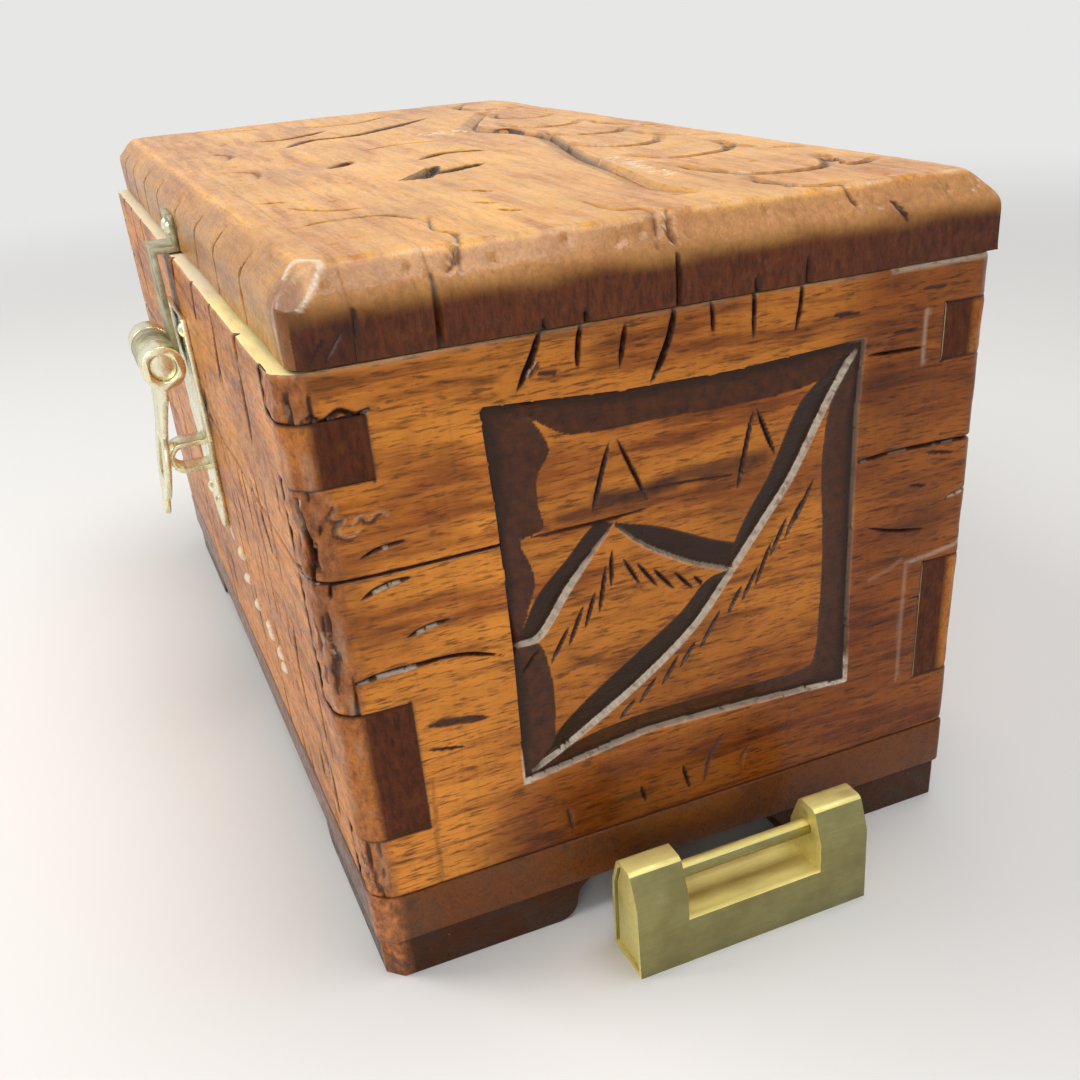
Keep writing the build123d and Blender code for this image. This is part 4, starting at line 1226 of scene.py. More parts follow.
def worn_copy(node, material, width, segments=2, side=None, treat=None, shoulders=None):
    """Copy of a node of the frame with its edges rounded, standing for it.

    side is the material of the faces to the left and right; treat(bm) goes over the copy;
    shoulders is the height above which the edges from front to back are rounded more.
    """
    bm = bmesh.new()
    bm.from_mesh(frame["nodes"][node].data)
    bmesh.ops.scale(bm, vec=(1 / MM, 1 / MM, 1 / MM), verts=bm.verts)
    bmesh.ops.remove_doubles(bm, verts=bm.verts, dist=0.002)
    bmesh.ops.dissolve_limit(bm, angle_limit=math.radians(1), verts=bm.verts, edges=bm.edges)
    if shoulders:
        high = [
            e for e in bm.edges
            if min(v.co.z for v in e.verts) > shoulders and e.calc_face_angle(0) > SHOULDER_TURN
            and abs(e.verts[0].co.y - e.verts[1].co.y) > 0.95 * e.calc_length()
        ]
        rounded(bm, high, SHOULDER_WIDTH, 4)
    if width:
        sharp = [
            e for e in bm.edges
            if len(e.link_faces) == 2 and e.calc_face_angle(0) > math.radians(WORN_ANGLE)
        ]
        rounded(bm, sharp, width, segments)
    if treat:
        treat(bm)
    body = next(o.name.split(":")[1] for o in frame["bodies"].values() if o is frame["nodes"][node].parent)
    materials = [paint(name) for name in (material, side) if name]
    return finish_piece(bm, f"{node}_worn", body, materials, [node],
                        bare=(lambda middle, normal: abs(normal.x) > 0.7) if side else None)


def rub_corner(bm):
    """Rub a piece of the base down to warmer wood at the near upright corner."""
    for normal, place, inward in ((Vector((1, 0, 0)), RIGHT, -1), (Vector((0, 1, 0)), FRONT, 1)):
        for away in (3.2, 5.4):
            bmesh.ops.bisect_plane(bm, geom=bm.verts[:] + bm.edges[:] + bm.faces[:],
                                   plane_co=normal * (place + inward * away), plane_no=normal)
    rub = bm.verts.layers.float.new("rub")
    for vertex in bm.verts:
        away = max(RIGHT - vertex.co.x, vertex.co.y - FRONT)
        vertex[rub] = float(smooth(5.3, 3.1, away))


class KEEPSAKE_OT_base(bpy.types.Operator):
    """Put the worn bottom board and the bracket feet under the walls."""

    bl_idname = "keepsake.base"
    bl_label = "Base"

    def execute(self, context):
        worn_copy("bottom_board", "base_board", 0.7, 3, treat=rub_corner)
        for node in frame["nodes"]:
            if node.startswith("foot_"):
                near = rub_corner if node.startswith("foot_front_right") else None
                worn_copy(node, "foot_board", 0.4, 2, treat=near)
        return {"FINISHED"}


# Carving of the lid: across is counted back from the right end, along from the front face
def down(height):
    """How far below the bevel's top edge a height on the lid's side is, along the surface."""
    return math.hypot(LID_BEVEL_WIDTH, LID_BEVEL_HEIGHT) + LID_TOP - LID_BEVEL_HEIGHT - height


# The bevels' top edges: at the right end, at the left end and at the front
END_EDGE = LID_RIGHT - RIGHT - LID_BEVEL_WIDTH
FAR_EDGE = LID_LEFT - RIGHT + LID_BEVEL_WIDTH
FRONT_EDGE = LID_FRONT - FRONT + LID_BEVEL_WIDTH


def on_end(along, height):
    """Place on the lid's end."""
    return (END_EDGE + down(height), along)


def on_front(across, height):
    """Place on the lid's front."""
    return (across, FRONT_EDGE - down(height))


# line, width, depth, stain, and the paleness of one bank (a painted glint)
LID_CUTS = [
    ([(-139.6, 32.4), (-154.3, 42.6), (-152.9, 52.8), (-165.7, 67.3), (-178.5, 80.5)], 4.4, 1.6, 0.97, 0.0),
    ([(-168.0, 30.0), (-164.0, 39.0), (-174.6, 51.7)], 3.0, 1.2, 0.85, 0.0),
    ([(-95.0, 33.0), (-104.8, 39.8)], 4.0, 1.5, 0.9, 0.0),
    ([(-91.7, 49.8), (-98.8, 56.9), (-97.8, 62.7), (-93.7, 65.6)], 3.2, 1.4, 0.97, 0.0),
    ([(-68.7, 45.4), (-73.4, 52.5), (-76.9, 58.9)], 4.0, 1.6, 1.0, 0.0),
    ([(-127.7, 78.4), (-129.8, 83.1), (-116.3, 82.8)], 3.0, 1.4, 1.0, 0.0),
    ([(-30.3, 11.7), (-33.8, 17.6), (-31.9, 25.9), (-22.1, 29.2)], 1.4, 0.6, 0.6, 0.0),
    ([(-22.6, 53.6), (-10.2, 54.1), (-6.8, 57.3), (4.9, 54.7)], 1.4, 0.5, 0.4, 0.8),
    ([(-26.3, 31.4), (-16.4, 28.7), (-9.6, 29.8), (-3.2, 28.0), (3.4, 26.6)], 1.3, 0.6, 0.5, 0.9),
    ([(-52.0, 15.0), (-44.0, 20.0), (-42.0, 27.0)], 1.4, 0.6, 0.6, 0.0),
    ([(-60.0, 12.5), (-58.0, 17.0)], 1.6, 0.7, 0.7, 0.0),
    ([(-46.0, 45.0), (-41.0, 47.0)], 1.5, 0.6, 0.6, 0.0),
    ([(-33.0, 40.5), (-28.5, 43.0)], 1.5, 0.6, 0.6, 0.0),
    ([(-23.5, 41.0), (-19.5, 43.5)], 1.5, 0.6, 0.6, 0.0),
    ([(-118.0, 45.0), (-124.0, 55.0), (-121.0, 66.0)], 2.0, 0.8, 0.5, 0.0),
    ([(-190.0, 44.0), (-186.0, 60.0), (-196.0, 74.0)], 2.4, 0.9, 0.6, 0.0),
    ([(-203.0, 22.0), (-198.0, 40.0)], 1.8, 0.7, 0.6, 0.0),
    ([(-150.0, 16.0), (-140.0, 21.0), (-128.0, 18.0)], 1.8, 0.7, 0.5, 0.0),
    ([(-112.0, 14.0), (-104.0, 20.0), (-92.0, 18.5)], 1.6, 0.6, 0.5, 0.0),
]
BIG_EDGE = [(-176.0, 96.0), (-160.0, 88.0), (-146.0, 81.5), (-132.2, 79.6), (-119.1, 83.9), (-105.8, 84.9),
            (-84.0, 79.6), (-65.8, 75.8), (-41.5, 71.8), (-25.8, 69.5), (-14.0, 70.5)]
SCALES = [
    [(-21.0, 83.3), (-15.0, 82.6), (-9.5, 83.7), (-6.5, 86.4), (-7.5, 91.0)],
    [(-46.4, 81.7), (-34.1, 83.1), (-24.1, 85.9), (-21.7, 93.0), (-24.3, 98.8), (-33.4, 102.9)],
    [(-64.4, 83.0), (-53.2, 85.2), (-51.7, 92.3), (-55.8, 98.6), (-65.3, 101.6)],
    [(-92.0, 82.0), (-82.0, 83.6), (-76.2, 87.6), (-77.4, 94.5), (-86.0, 99.5)],
    [(-118.0, 88.2), (-109.0, 87.4), (-101.8, 90.6), (-100.2, 96.8), (-107.0, 102.0)],
    [(-143.0, 87.0), (-134.0, 86.6), (-126.4, 90.6), (-126.0, 97.2), (-132.0, 102.4)],
    [(-168.0, 95.6), (-159.0, 92.4), (-151.0, 94.4), (-148.6, 99.6), (-153.0, 104.0)],
    [(-34.0, 104.6), (-24.4, 102.2), (-21.5, 100.9), (-20.6, 103.6), (-24.2, 108.6)],
    [(-66.0, 103.4), (-57.4, 102.6), (-50.2, 104.4), (-46.0, 108.8)],
    [(-97.0, 101.0), (-88.0, 101.6), (-80.0, 104.2), (-76.0, 108.8)],
    [(-128.0, 104.6), (-118.0, 103.6), (-109.0, 105.0), (-104.0, 108.8)],
    [(-206.0, 100.0), (-196.0, 94.6), (-186.4, 95.0), (-181.0, 100.0), (-180.0, 107.0)],
]
# line, width, depth, and the paleness of one bank (a painted glint)
LID_SIDE_CUTS = [
    ([on_end(37.7, 107.6), on_end(37.7, 104.6)], 1.0, 0.7, 0.0),
    ([on_end(44.1, 107.8), on_end(43.9, 104.6)], 1.0, 0.7, 0.0),
    ([on_end(58.1, 113.4), on_end(58.5, 110.0), on_end(58.3, 104.4)], 1.1, 0.8, 0.0),
    ([on_end(71.3, 108.4), on_end(71.3, 104.6)], 1.1, 0.8, 0.0),
    ([on_end(80.0, 110.0), on_end(79.7, 104.6)], 1.1, 0.8, 0.0),
    ([on_end(23.2, 116.4), on_end(23.0, 110.0), on_end(23.1, 104.4)], 1.0, 0.8, 0.3),
    ([on_end(12.0, 113.0), on_end(11.6, 104.6)], 0.9, 0.4, 0.0),
    ([on_end(7.0, 106.0), on_end(10.5, 110.6)], 0.8, 0.3, 0.0),
    ([on_end(5.2, 106.4), on_end(7.6, 109.4)], 0.8, 0.3, 0.0),
    ([(-4.6, 59.3), (-1.5, 58.4), on_end(57.9, 116.2), on_end(58.2, 114.2)], 1.3, 0.7, 0.95),
    ([(-3.6, 27.8), on_end(26.6, 117.0), on_end(25.0, 115.4)], 1.0, 0.5, 0.95),
    ([(-4.0, 88.4), on_end(88.6, 117.0), on_end(89.4, 115.4)], 1.0, 0.5, 0.9),
    ([on_end(95.0, 116.0), on_end(97.0, 112.6)], 1.1, 0.6, 0.2),
    ([on_front(-28.2, 117.0), on_front(-29.5, 111.0), on_front(-29.0, 104.6)], 1.1, 1.0, 0.3),
    ([on_front(-50.8, 118.0), on_front(-52.6, 112.0), on_front(-54.8, 104.6)], 1.4, 1.2, 0.7),
    ([on_front(-72.6, 116.4), on_front(-77.0, 110.0), on_front(-79.4, 104.6)], 1.2, 1.0, 0.3),
    ([on_front(-97.2, 116.0), on_front(-100.6, 110.0), on_front(-102.6, 104.6)], 1.1, 0.9, 0.3),
    ([on_front(-128.0, 116.8), on_front(-130.6, 110.0), on_front(-131.0, 104.6)], 1.1, 0.9, 0.3),
    ([on_front(-152.0, 116.2), on_front(-155.0, 110.0), on_front(-156.0, 104.6)], 1.1, 0.9, 0.3),
    ([on_front(-178.0, 116.8), on_front(-179.6, 110.0), on_front(-179.4, 104.6)], 1.1, 0.9, 0.3),
    ([on_front(-199.0, 116.6), on_front(-200.6, 110.0), on_front(-200.4, 104.6)], 1.1, 0.9, 0.3),
]
NOTCH_FOOT = [(-66.5, 38.8), (-72.0, 43.4), (-78.9, 48.1)]
NOTCH_BROW = [(-65.6, 41.4), (-65.0, 44.2), (-72.0, 48.2), (-79.0, 50.6)]
# Stippled bands: start, end, width, number of marks
STIPPLES = (((-138, 65.5), (-135.5, 79.5), 7, 46), ((-62.5, 77.6), (-29.9, 74.6), 3.4, 60))
# Numbers of plain marks on the top, and of nicks along each end's upper edge
MARKS, EDGE_NICKS = 80, 26


def lid_relief(places, step):
    """Scales, gouges, stippling and worn edges over the whole lid."""
    relief = Relief(places, step)
    random = np.random.default_rng(5)
    relief.height += 0.16 * ripple(places, 30, 3) + 0.03 * ripple(places, 6, 4) - 0.2
    relief.cuts(LID_CUTS)
    relief.slope(NOTCH_FOOT, NOTCH_BROW, 1.9, stain=1.0, wear=0.3)
    edge = curved(BIG_EDGE)
    relief.slope(edge, edge - [0, 4.5], 1.2, stain=0.28, wear=0.15, ends=(0.15, 0.1))
    relief.groove(edge - [0, 0.5], 1.3, 0.4, stain=0.95, keyed=False)
    for scale in SCALES:
        rim = curved(scale)
        middle = rim.mean(0) + [-8, 3]
        outward = unit(rim - middle)
        relief.slope(rim, rim + outward * 2.8, 0.95, stain=0.28, wear=0.15, ends=(0.25, 0.25))
        relief.groove(rim + outward * 0.4, 1.2, 0.4, stain=0.95, keyed=False)
    for start, end, wide, count in STIPPLES:
        start, end = np.array(start), np.array(end)
        spots = [
            start + (end - start) * random.uniform(0, 1) + random.normal(0, wide / 3, 2)
            for _ in range(count)
        ]
        # Their pale rims are painted glints
        relief.dimples(spots, 0.8, 0.22, 0.0, wear=0.95)
    relief.dimples(random.uniform((-205, 12), (-6, 108), (MARKS, 2)), 0.9, 0.25)
    for y in (STRIP_JOINT - FRONT, BOARD_JOINT - FRONT):
        joint = [(LID_LEFT - RIGHT - 12, y), (LID_RIGHT - RIGHT + 14, y)]
        relief.groove(joint, 0.4, 0.08, stain=0.25, blunt=(1, 1))
    for line, width, depth, wear in LID_SIDE_CUTS:
        relief.groove(line, width, depth, stain=1 - 0.6 * wear, wear=-wear, blunt=(0.15, 0.3))
    for side, way in ((END_EDGE, 1), (FAR_EDGE, -1)):
        for _ in range(EDGE_NICKS):
            y = random.uniform(5, 112)
            x = side + way * random.uniform(0, 5)
            relief.groove([(x, y), (x + way * random.uniform(1.5, 3), y + random.uniform(-1.2, 1.2))],
                          random.uniform(0.5, 0.9), 0.2, stain=0.2, wear=0.5)
    return relief


# Spacing of the rings down the lid's sides
FLANK_STEP = 0.55


def lid_profile():
    """Inset and height of each ring of the lid, from the lowest up its side to the top's edge."""
    corners = [
        (0, LID_UNDER_SEEN), (0, LID_TOP - LID_BEVEL_HEIGHT),
        (LID_BEVEL_WIDTH, LID_TOP), (LID_BEVEL_WIDTH + 3, LID_TOP),
    ]
    runs = measured(corners)
    at = np.arange(0, runs[-1] - 2.2, FLANK_STEP)
    profile = np.zeros((len(at), 2))
    offsets = np.linspace(-ROUNDING, ROUNDING, 9)
    for offset in offsets:
        shifted = np.clip(at + offset * np.clip(at / ROUNDING, 0, 1), 0, runs[-1])
        profile += between(shifted, runs, corners)
    return profile / len(offsets)


def drape(x_stops, y_stops, step, profile):
    """Grid laid over a flat board and down its four sides.

    profile has the inset and height of each ring, from the outer lowest to the top's edge.
    Returns the mesh with each vertex's ring, place, outward way and unfolded place.
    """
    rings = len(profile) - 1
    top = [spaced(stops, step) for stops in (x_stops, y_stops)]
    counts = [len(lines) - 1 + 2 * rings for lines in top]
    bm, *index = plate(np.arange(counts[0] + 1), np.arange(counts[1] + 1))
    index = np.array(index)
    back = np.array(counts)[:, None] - index
    nearest = np.minimum(index, back)
    ring = np.minimum(nearest.min(0), rings)
    inset, height = profile[ring].T
    flank = measured(profile)
    below = flank[-1] - flank[ring]
    slant = unit(np.gradient(profile, axis=0))
    slant[-1] = (1, 0)
    place = np.zeros((2, len(ring)))
    for axis, lines in enumerate(top):
        share = (nearest[axis] - ring) / np.maximum(rings - ring, 1)
        close = np.minimum(inset + share * (profile[-1][0] - inset), profile[-1][0])
        inner = lines[np.clip(index[axis] - rings, 0, len(lines) - 1)]
        first = lines[0] - profile[-1][0] + close
        last = lines[-1] + profile[-1][0] - close
        place[axis] = np.where(index[axis] < rings, first, np.where(back[axis] < rings, last, inner))
    unfolded = place.copy()
    way = np.zeros((3, len(ring)))
    side = ring < rings
    way[2] = np.where(side, slant[ring][:, 0], 1)
    for axis in (0, 1):
        for lines_end, gap, sign in ((0, index, -1), (-1, back, 1)):
            here = side & (gap[axis] == ring)
            way[axis] += np.where(here, sign * slant[ring][:, 1], 0)
            only = here & (gap[axis] <= nearest[1 - axis])
            unfolded[axis] = np.where(only, top[axis][lines_end] + sign * below, unfolded[axis])
    way /= np.sqrt((way**2).sum(0))
    return bm, index, counts, rings, np.vstack([place, height]).T, way.T, unfolded.T


def part_boards(bm):
    """Part the lid's mesh into its three boards, close each and finish it."""
    joints = (LID_FRONT - 1, STRIP_JOINT, BOARD_JOINT, BACK + 1)
    nodes = ("lid_front_strip", "lid_second_strip", "lid_main_board")
    for node, start, end in zip(nodes, joints, joints[1:]):
        board = bm.copy()
        gone = [f for f in board.faces if not start < f.calc_center_median().y < end]
        bmesh.ops.delete(board, geom=gone, context="FACES")
        for joint in (start, end):
            cut = [
                e for e in board.edges
                if e.is_boundary and all(abs(v.co.y - joint) < 1e-3 for v in e.verts)
            ]
            if cut:
                feet = {v for e in cut for v in e.verts if v.co.z < LID_UNDER_SEEN + 1e-3}
                sill = bmesh.ops.contextual_create(board, geom=list(feet))["edges"]
                bmesh.ops.edgeloop_fill(board, edges=cut + sill)
        bottom = [e for e in board.edges if e.is_boundary]
        bmesh.ops.edgeloop_fill(board, edges=bottom)
        finish_piece(board, f"{node}_carved", "lid", [paint("lid_board")], [node])


class KEEPSAKE_OT_lid(bpy.types.Operator):
    """Carve the three boards of the lid."""

    bl_idname = "keepsake.lid"
    bl_label = "Lid"

    @staticmethod
    def knock_corner(bm):
        """Flatten the near upper corner to an oval facet, paled as a painted reflection, with a painted
        highlight along its edge.
        """
        facing = Vector((LID_BEVEL_HEIGHT, -LID_BEVEL_HEIGHT, 2 * LID_BEVEL_WIDTH)).normalized()
        half_width, half_height = LID_BEVEL_WIDTH / 2, LID_BEVEL_HEIGHT / 2
        ridge = Vector((LID_RIGHT - half_width, LID_FRONT + half_width, LID_TOP - half_height))
        wear = bm.verts.layers.float["wear"]
        rub = bm.verts.layers.float["rub"]
        for vertex in bm.verts:
            away = vertex.co - ridge
            if away.length > 9:
                continue
            above = away.dot(facing) + 1.5
            if above > 0:
                vertex.co -= facing * above
            # Painted highlight along the facet's edge, and painted reflection over the facet
            painted_highlight = max(0.0, 1 - abs(above) / 0.35) * (away.y > 0.2)
            vertex[wear] = max(vertex[wear], painted_highlight, 0.12 * (above > 0))
            vertex[rub] = max(vertex[rub], 0.8 * (above > 0))

    @staticmethod
    def varnish(places, cross):
        """How dark each place is: painted shade on the lid's front and by its near right-hand corner,
        lighter as a painted highlight along the front bevel's top edge, uneven tone on the top, and on the
        end old varnish that differs board by board and darkens towards the back.
        """
        along = places[:, 1]
        front = FRONT_EDGE - along
        strip, board = STRIP_JOINT - FRONT, BOARD_JOINT - FRONT
        top = 0.15 + 0.13 * ripple(places * [0.5, 1], 15, 79) + 0.07 * ripple(places * [0.2, 1], 4, 81)
        top += 0.10 * smooth(board + 3, board - 3, along)
        top += 0.38 * smooth(-0.4, 1.8, front) - 0.25 * smooth(0.8, 0.2, abs(front + 0.3))
        top += 0.4 * smooth(7, 1, END_EDGE - places[:, 0]) * smooth(0.5, 3, front)
        end = 0.36 * smooth(strip + 0.3, strip - 0.3, along)
        end += 0.10 * smooth(board + 0.3, board - 0.3, along)
        end += 0.34 * smooth(78, 108, along) + 0.08 * ripple(places, 11, 80)
        return np.clip(top * (1 - cross) + end * cross, 0, 1)

    @staticmethod
    def round_corners(bm):
        """Round the two upright corners at the front, less and less up the bevel."""
        for vertex in bm.verts:
            rise = max(0.0, vertex.co.z - LID_TOP + LID_BEVEL_HEIGHT)
            radius = max(0.1, LID_CORNER - rise * LID_BEVEL_WIDTH / LID_BEVEL_HEIGHT)
            for edge, inward in ((LID_RIGHT, -1), (LID_LEFT, 1)):
                inset = (vertex.co.x - edge) * inward, vertex.co.y - LID_FRONT
                out = Vector((inset[0] - LID_CORNER, inset[1] - LID_CORNER))
                if max(out) < 0 and out.length > radius:
                    out *= radius / out.length
                    vertex.co.x = edge + inward * (out.x + LID_CORNER)
                    vertex.co.y = LID_FRONT + out.y + LID_CORNER

    def execute(self, context):
        step = context.scene.keepsake_carving.lid_step
        profile = lid_profile()
        wide = profile[-1][0]
        bm, index, counts, rings, places, way, unfolded = drape(
            (LID_LEFT + wide, LID_RIGHT - wide),
            (LID_FRONT + wide, STRIP_JOINT, BOARD_JOINT, BACK - wide), step, profile,
        )
        close = np.minimum(index, np.array(counts)[:, None] - index)
        flat = unfolded - [RIGHT, FRONT]
        joints = np.isin(np.round(unfolded[:, 1], 3), np.round([STRIP_JOINT, BOARD_JOINT], 3))
        held = joints | (close.min(0) == 0) | (close.max(0) < rings)
        cell = np.full(flat.shape, step)
        for axis in (0, 1):
            cell[:, axis] = np.where(close[axis] < rings, FLANK_STEP, step)
        settled, on_line = settle(flat, lid_relief(flat, step).keys, cell, held)
        carved = lid_relief(settled, step)
        ends = np.maximum(settled[:, 0] - END_EDGE, FAR_EDGE - settled[:, 0])
        bevel = down(LID_TOP - LID_BEVEL_HEIGHT)
        uneven = ends + 0.4 * ripple(settled * [1, 0.3], 6, 77)
        carved.cross = smooth(bevel - 1.2, bevel + 2.6, uneven)
        carved.rub = smooth(0.5, 1.6, ends) * (1 - carved.cross)
        carved.shade = self.varnish(settled, carved.cross)
        # Painted highlight along the upper edge of each end's bevel
        crest = smooth(0.9, 0.3, abs(ends - 0.1)) * (0.5 + 0.5 * ripple(settled, 7, 78))
        carved.pale(slice(None), 0.4 * crest)
        # The hasp's strap needs a flat ground on the lid's front
        strap = (abs(unfolded[:, 0] - (LEFT + RIGHT) / 2) < 8) & (unfolded[:, 1] < LID_FRONT + 2)
        carved.height = np.where(strap, -0.03, np.minimum(carved.height, 0.0))
        move = settled - flat
        fall = np.hypot(way[:, 0], way[:, 1])
        for axis in (0, 1):
            turned = abs(way[:, axis]) > 0.05
            places[:, axis] += move[:, axis] * np.where(turned, way[:, 2], 1)
            places[:, 2] -= np.where(turned, move[:, axis] * np.sign(way[:, axis]) * fall, 0)
        lie(bm, places + way * carved.height[:, None])
        mark(bm, carved)
        corner = (abs(close[0] - close[1]) < 4) & (close.min(0) > 0)
        corner &= (close.min(0) < rings + 2) & (close.max(0) < rings + 4)
        bm.verts.ensure_lookup_table()
        bm.verts.index_update()
        for _ in range(5):
            bmesh.ops.smooth_vert(bm, verts=[bm.verts[k] for k in np.nonzero(corner)[0]], factor=0.5,
                                  use_axis_x=True, use_axis_y=True, use_axis_z=True)
        self.round_corners(bm)
        self.knock_corner(bm)
        crease(bm, on_line)
        part_boards(bm)
        bm.free()
        return {"FINISHED"}


class KEEPSAKE_OT_fittings(bpy.types.Operator):
    """Round the edges of the hasp, staple and plate, and give them and the hinges their brass."""

    bl_idname = "keepsake.fittings"
    bl_label = "Brass fittings"

    def execute(self, context):
        edge = context.scene.keepsake_brass.edge
        for node in ("latch_plate", "latch_staple", "hasp_strap", "hasp", "hasp_pin"):
            worn_copy(node, "strap_brass" if node == "hasp_strap" else "hasp_brass", edge)
        for node in ("latch_plate_nails", "hasp_strap_nails"):
            frame["nodes"][node].data.materials[0] = paint("hasp_brass")
        for node in frame["nodes"]:
            if "hinge" in node:
                frame["nodes"][node].data.materials[0] = paint("hinge_brass")
        return {"FINISHED"}


class KEEPSAKE_OT_lock(bpy.types.Operator):
    """Round the edges of the loose lock and give it its brass."""

    bl_idname = "keepsake.lock"
    bl_label = "Loose lock"

    def execute(self, context):
        edge = context.scene.keepsake_brass.edge
        for node in ("padlock_case", "padlock_key_plate", "padlock_bar"):
            worn_copy(node, "lock_brass", edge, side="lock_side",
                      shoulders=14 if node == "padlock_case" else None)
        frame["nodes"]["padlock_springs"].data.materials[0] = paint("lock_inside")
        return {"FINISHED"}


# Radii of the floor's rings, in metres; past its flat part it curves up
FLOOR_RINGS = (0.4, 0.9, 1.5, 1.8, 2.1, 2.4, 2.7, 3.0, 3.3, 3.6, 3.9)
FLOOR_FLAT, FLOOR_CURVE = 1.5, 0.55
# name, place, size, power, colour
LAMPS = (
    ("key", (-0.30, -0.62, 0.72), 0.45, 5.0, (1.0, 0.97, 0.93)),
    ("top", (0.10, 0.12, 0.95), 0.55, 5.2, (1.0, 0.98, 0.96)),
    ("fill", (0.85, -0.45, 0.42), 0.50, 2.4, (0.98, 0.98, 1.0)),
)
LAMPS_AIM = (0, 0, 0.06)
CAMERA_PLACE = (0.25022, -0.07486, 0.14602)
CAMERA_RIGHT = (0.40200, 0.91328, -0.06570)
CAMERA_UP = (-0.43800, 0.25481, 0.86211)
CAMERA_SHIFT = (-0.0316, 0.1188)


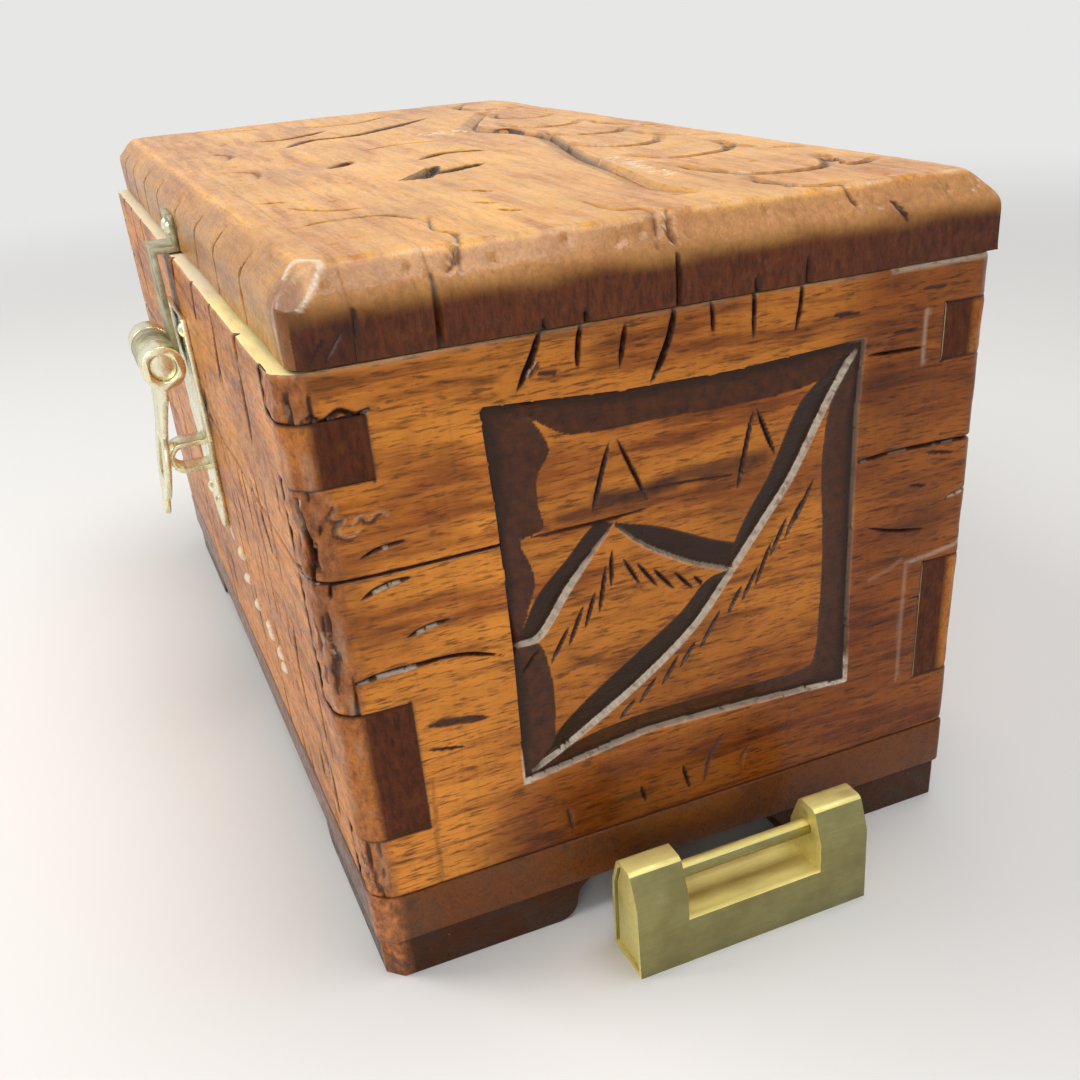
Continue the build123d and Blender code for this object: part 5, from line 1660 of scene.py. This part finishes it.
class KEEPSAKE_OT_stage(bpy.types.Operator):
    """Lay the pale floor, hang the soft lamps and set the camera."""

    bl_idname = "keepsake.stage"
    bl_label = "Stage"

    def execute(self, context):
        look = context.scene.keepsake_stage
        bm = bmesh.new()
        bmesh.ops.create_circle(bm, cap_ends=False, segments=96, radius=0.02)
        rim = bm.edges[:]
        for radius in FLOOR_RINGS:
            made = bmesh.ops.extrude_edge_only(bm, edges=rim)["geom"]
            rim = [edge for edge in made if isinstance(edge, bmesh.types.BMEdge)]
            for vertex in {v for edge in rim for v in edge.verts}:
                out = vertex.co.xy.normalized() * radius
                vertex.co = (out.x, out.y, max(0, radius - FLOOR_FLAT) ** 2 * FLOOR_CURVE)
        middle = [e for e in bm.edges if e.is_boundary and e.verts[0].co.length < 0.1]
        bmesh.ops.holes_fill(bm, edges=middle, sides=0)
        bmesh.ops.recalc_face_normals(bm, faces=bm.faces)
        if bm.faces[0].normal.z < 0:
            bmesh.ops.reverse_faces(bm, faces=bm.faces)
        mesh = bpy.data.meshes.new("floor")
        bm.to_mesh(mesh)
        bm.free()
        mesh.polygons.foreach_set("use_smooth", [True] * len(mesh.polygons))
        s = Shader("pale_floor")
        surface = s.node("BsdfPrincipled", {"Base Color": solid(look.floor), "Roughness": 0.7})
        # Far from the box, what the camera and mirrors see of the floor is an even pale tone
        coords = s.node("TexCoord").outputs["Object"]
        place = s.node("VectorMath", {0: coords}, operation="LENGTH").outputs["Value"]
        light = s.node("LightPath").outputs
        seen = s.math("ADD", light["Is Camera Ray"], light["Is Glossy Ray"])
        seen = s.math("ADD", seen, light["Is Transmission Ray"], clamp=True)
        even = s.node("Emission", {"Color": (0.80, 0.80, 0.79, 1), "Strength": 1.0}).outputs[0]
        far = s.math("MULTIPLY", seen, s.span(place, 0.30, 0.95))
        joined = s.node("MixShader", {0: far, 1: surface.outputs[0], 2: even})
        mesh.materials.append(s.finish(joined.outputs[0]))
        floor = bpy.data.objects.new("floor", mesh)
        context.scene.collection.objects.link(floor)
        world = bpy.data.worlds.new("studio")
        world.use_nodes = True
        back = world.node_tree.nodes["Background"]
        back.inputs["Color"].default_value = (0.93, 0.93, 0.94, 1)
        back.inputs["Strength"].default_value = 0.42
        context.scene.world = world
        for name, place, size, power, colour in LAMPS:
            lamp = bpy.data.lights.new(name, "AREA")
            lamp.shape = "DISK"
            lamp.size, lamp.energy, lamp.color = size, power, colour
            hung = bpy.data.objects.new(name, lamp)
            hung.location = place
            aim = Vector(LAMPS_AIM) - Vector(place)
            hung.rotation_euler = aim.to_track_quat("-Z", "Y").to_euler()
            context.scene.collection.objects.link(hung)
        camera = bpy.data.objects.new("camera", bpy.data.cameras.new("camera"))
        right, up = Vector(CAMERA_RIGHT), Vector(CAMERA_UP)
        turn = Matrix((right, up, right.cross(up))).transposed().to_4x4()
        camera.matrix_world = Matrix.Translation(CAMERA_PLACE) @ turn
        camera.data.sensor_width = 36
        camera.data.lens = look.lens
        camera.data.shift_x, camera.data.shift_y = CAMERA_SHIFT
        camera.data.clip_start = 0.01
        context.scene.collection.objects.link(camera)
        context.scene.camera = camera
        context.scene.view_settings.view_transform = "Standard"
        return {"FINISHED"}


class KEEPSAKE_PT_sidebar(bpy.types.Panel):
    """Lists the sizes and the steps that make the box."""

    bl_label = "Keepsake Box"
    bl_idname = "KEEPSAKE_PT_sidebar"
    bl_space_type = "VIEW_3D"
    bl_region_type = "UI"
    bl_category = "Keepsake Box"

    def draw(self, context):
        for group in (context.scene.keepsake_wood, context.scene.keepsake_carving,
                      context.scene.keepsake_brass, context.scene.keepsake_stage):
            box = self.layout.box()
            for key in group.__annotations__:
                box.prop(group, key)
        for step in STEPS:
            self.layout.operator(step.bl_idname)


GROUPS = {
    "keepsake_wood": KeepsakeWood,
    "keepsake_carving": KeepsakeCarving,
    "keepsake_brass": KeepsakeBrass,
    "keepsake_stage": KeepsakeStage,
}
STEPS = (
    KEEPSAKE_OT_walls, KEEPSAKE_OT_base, KEEPSAKE_OT_lid, KEEPSAKE_OT_fittings,
    KEEPSAKE_OT_lock, KEEPSAKE_OT_stage,
)


def register():
    """Make the groups, steps and panel known to Blender."""
    for cls in (*GROUPS.values(), *STEPS, KEEPSAKE_PT_sidebar):
        bpy.utils.register_class(cls)
    for name, group in GROUPS.items():
        setattr(bpy.types.Scene, name, bpy.props.PointerProperty(type=group))


def unregister():
    """Take them away again."""
    for name in GROUPS:
        delattr(bpy.types.Scene, name)
    for cls in reversed((*GROUPS.values(), *STEPS, KEEPSAKE_PT_sidebar)):
        bpy.utils.unregister_class(cls)


def main():
    """Make the whole set."""
    register()
    bpy.ops.keepsake.walls()
    bpy.ops.keepsake.base()
    bpy.ops.keepsake.lid()
    bpy.ops.keepsake.fittings()
    bpy.ops.keepsake.lock()
    bpy.ops.keepsake.stage()


if __name__ == "__main__":
    main()
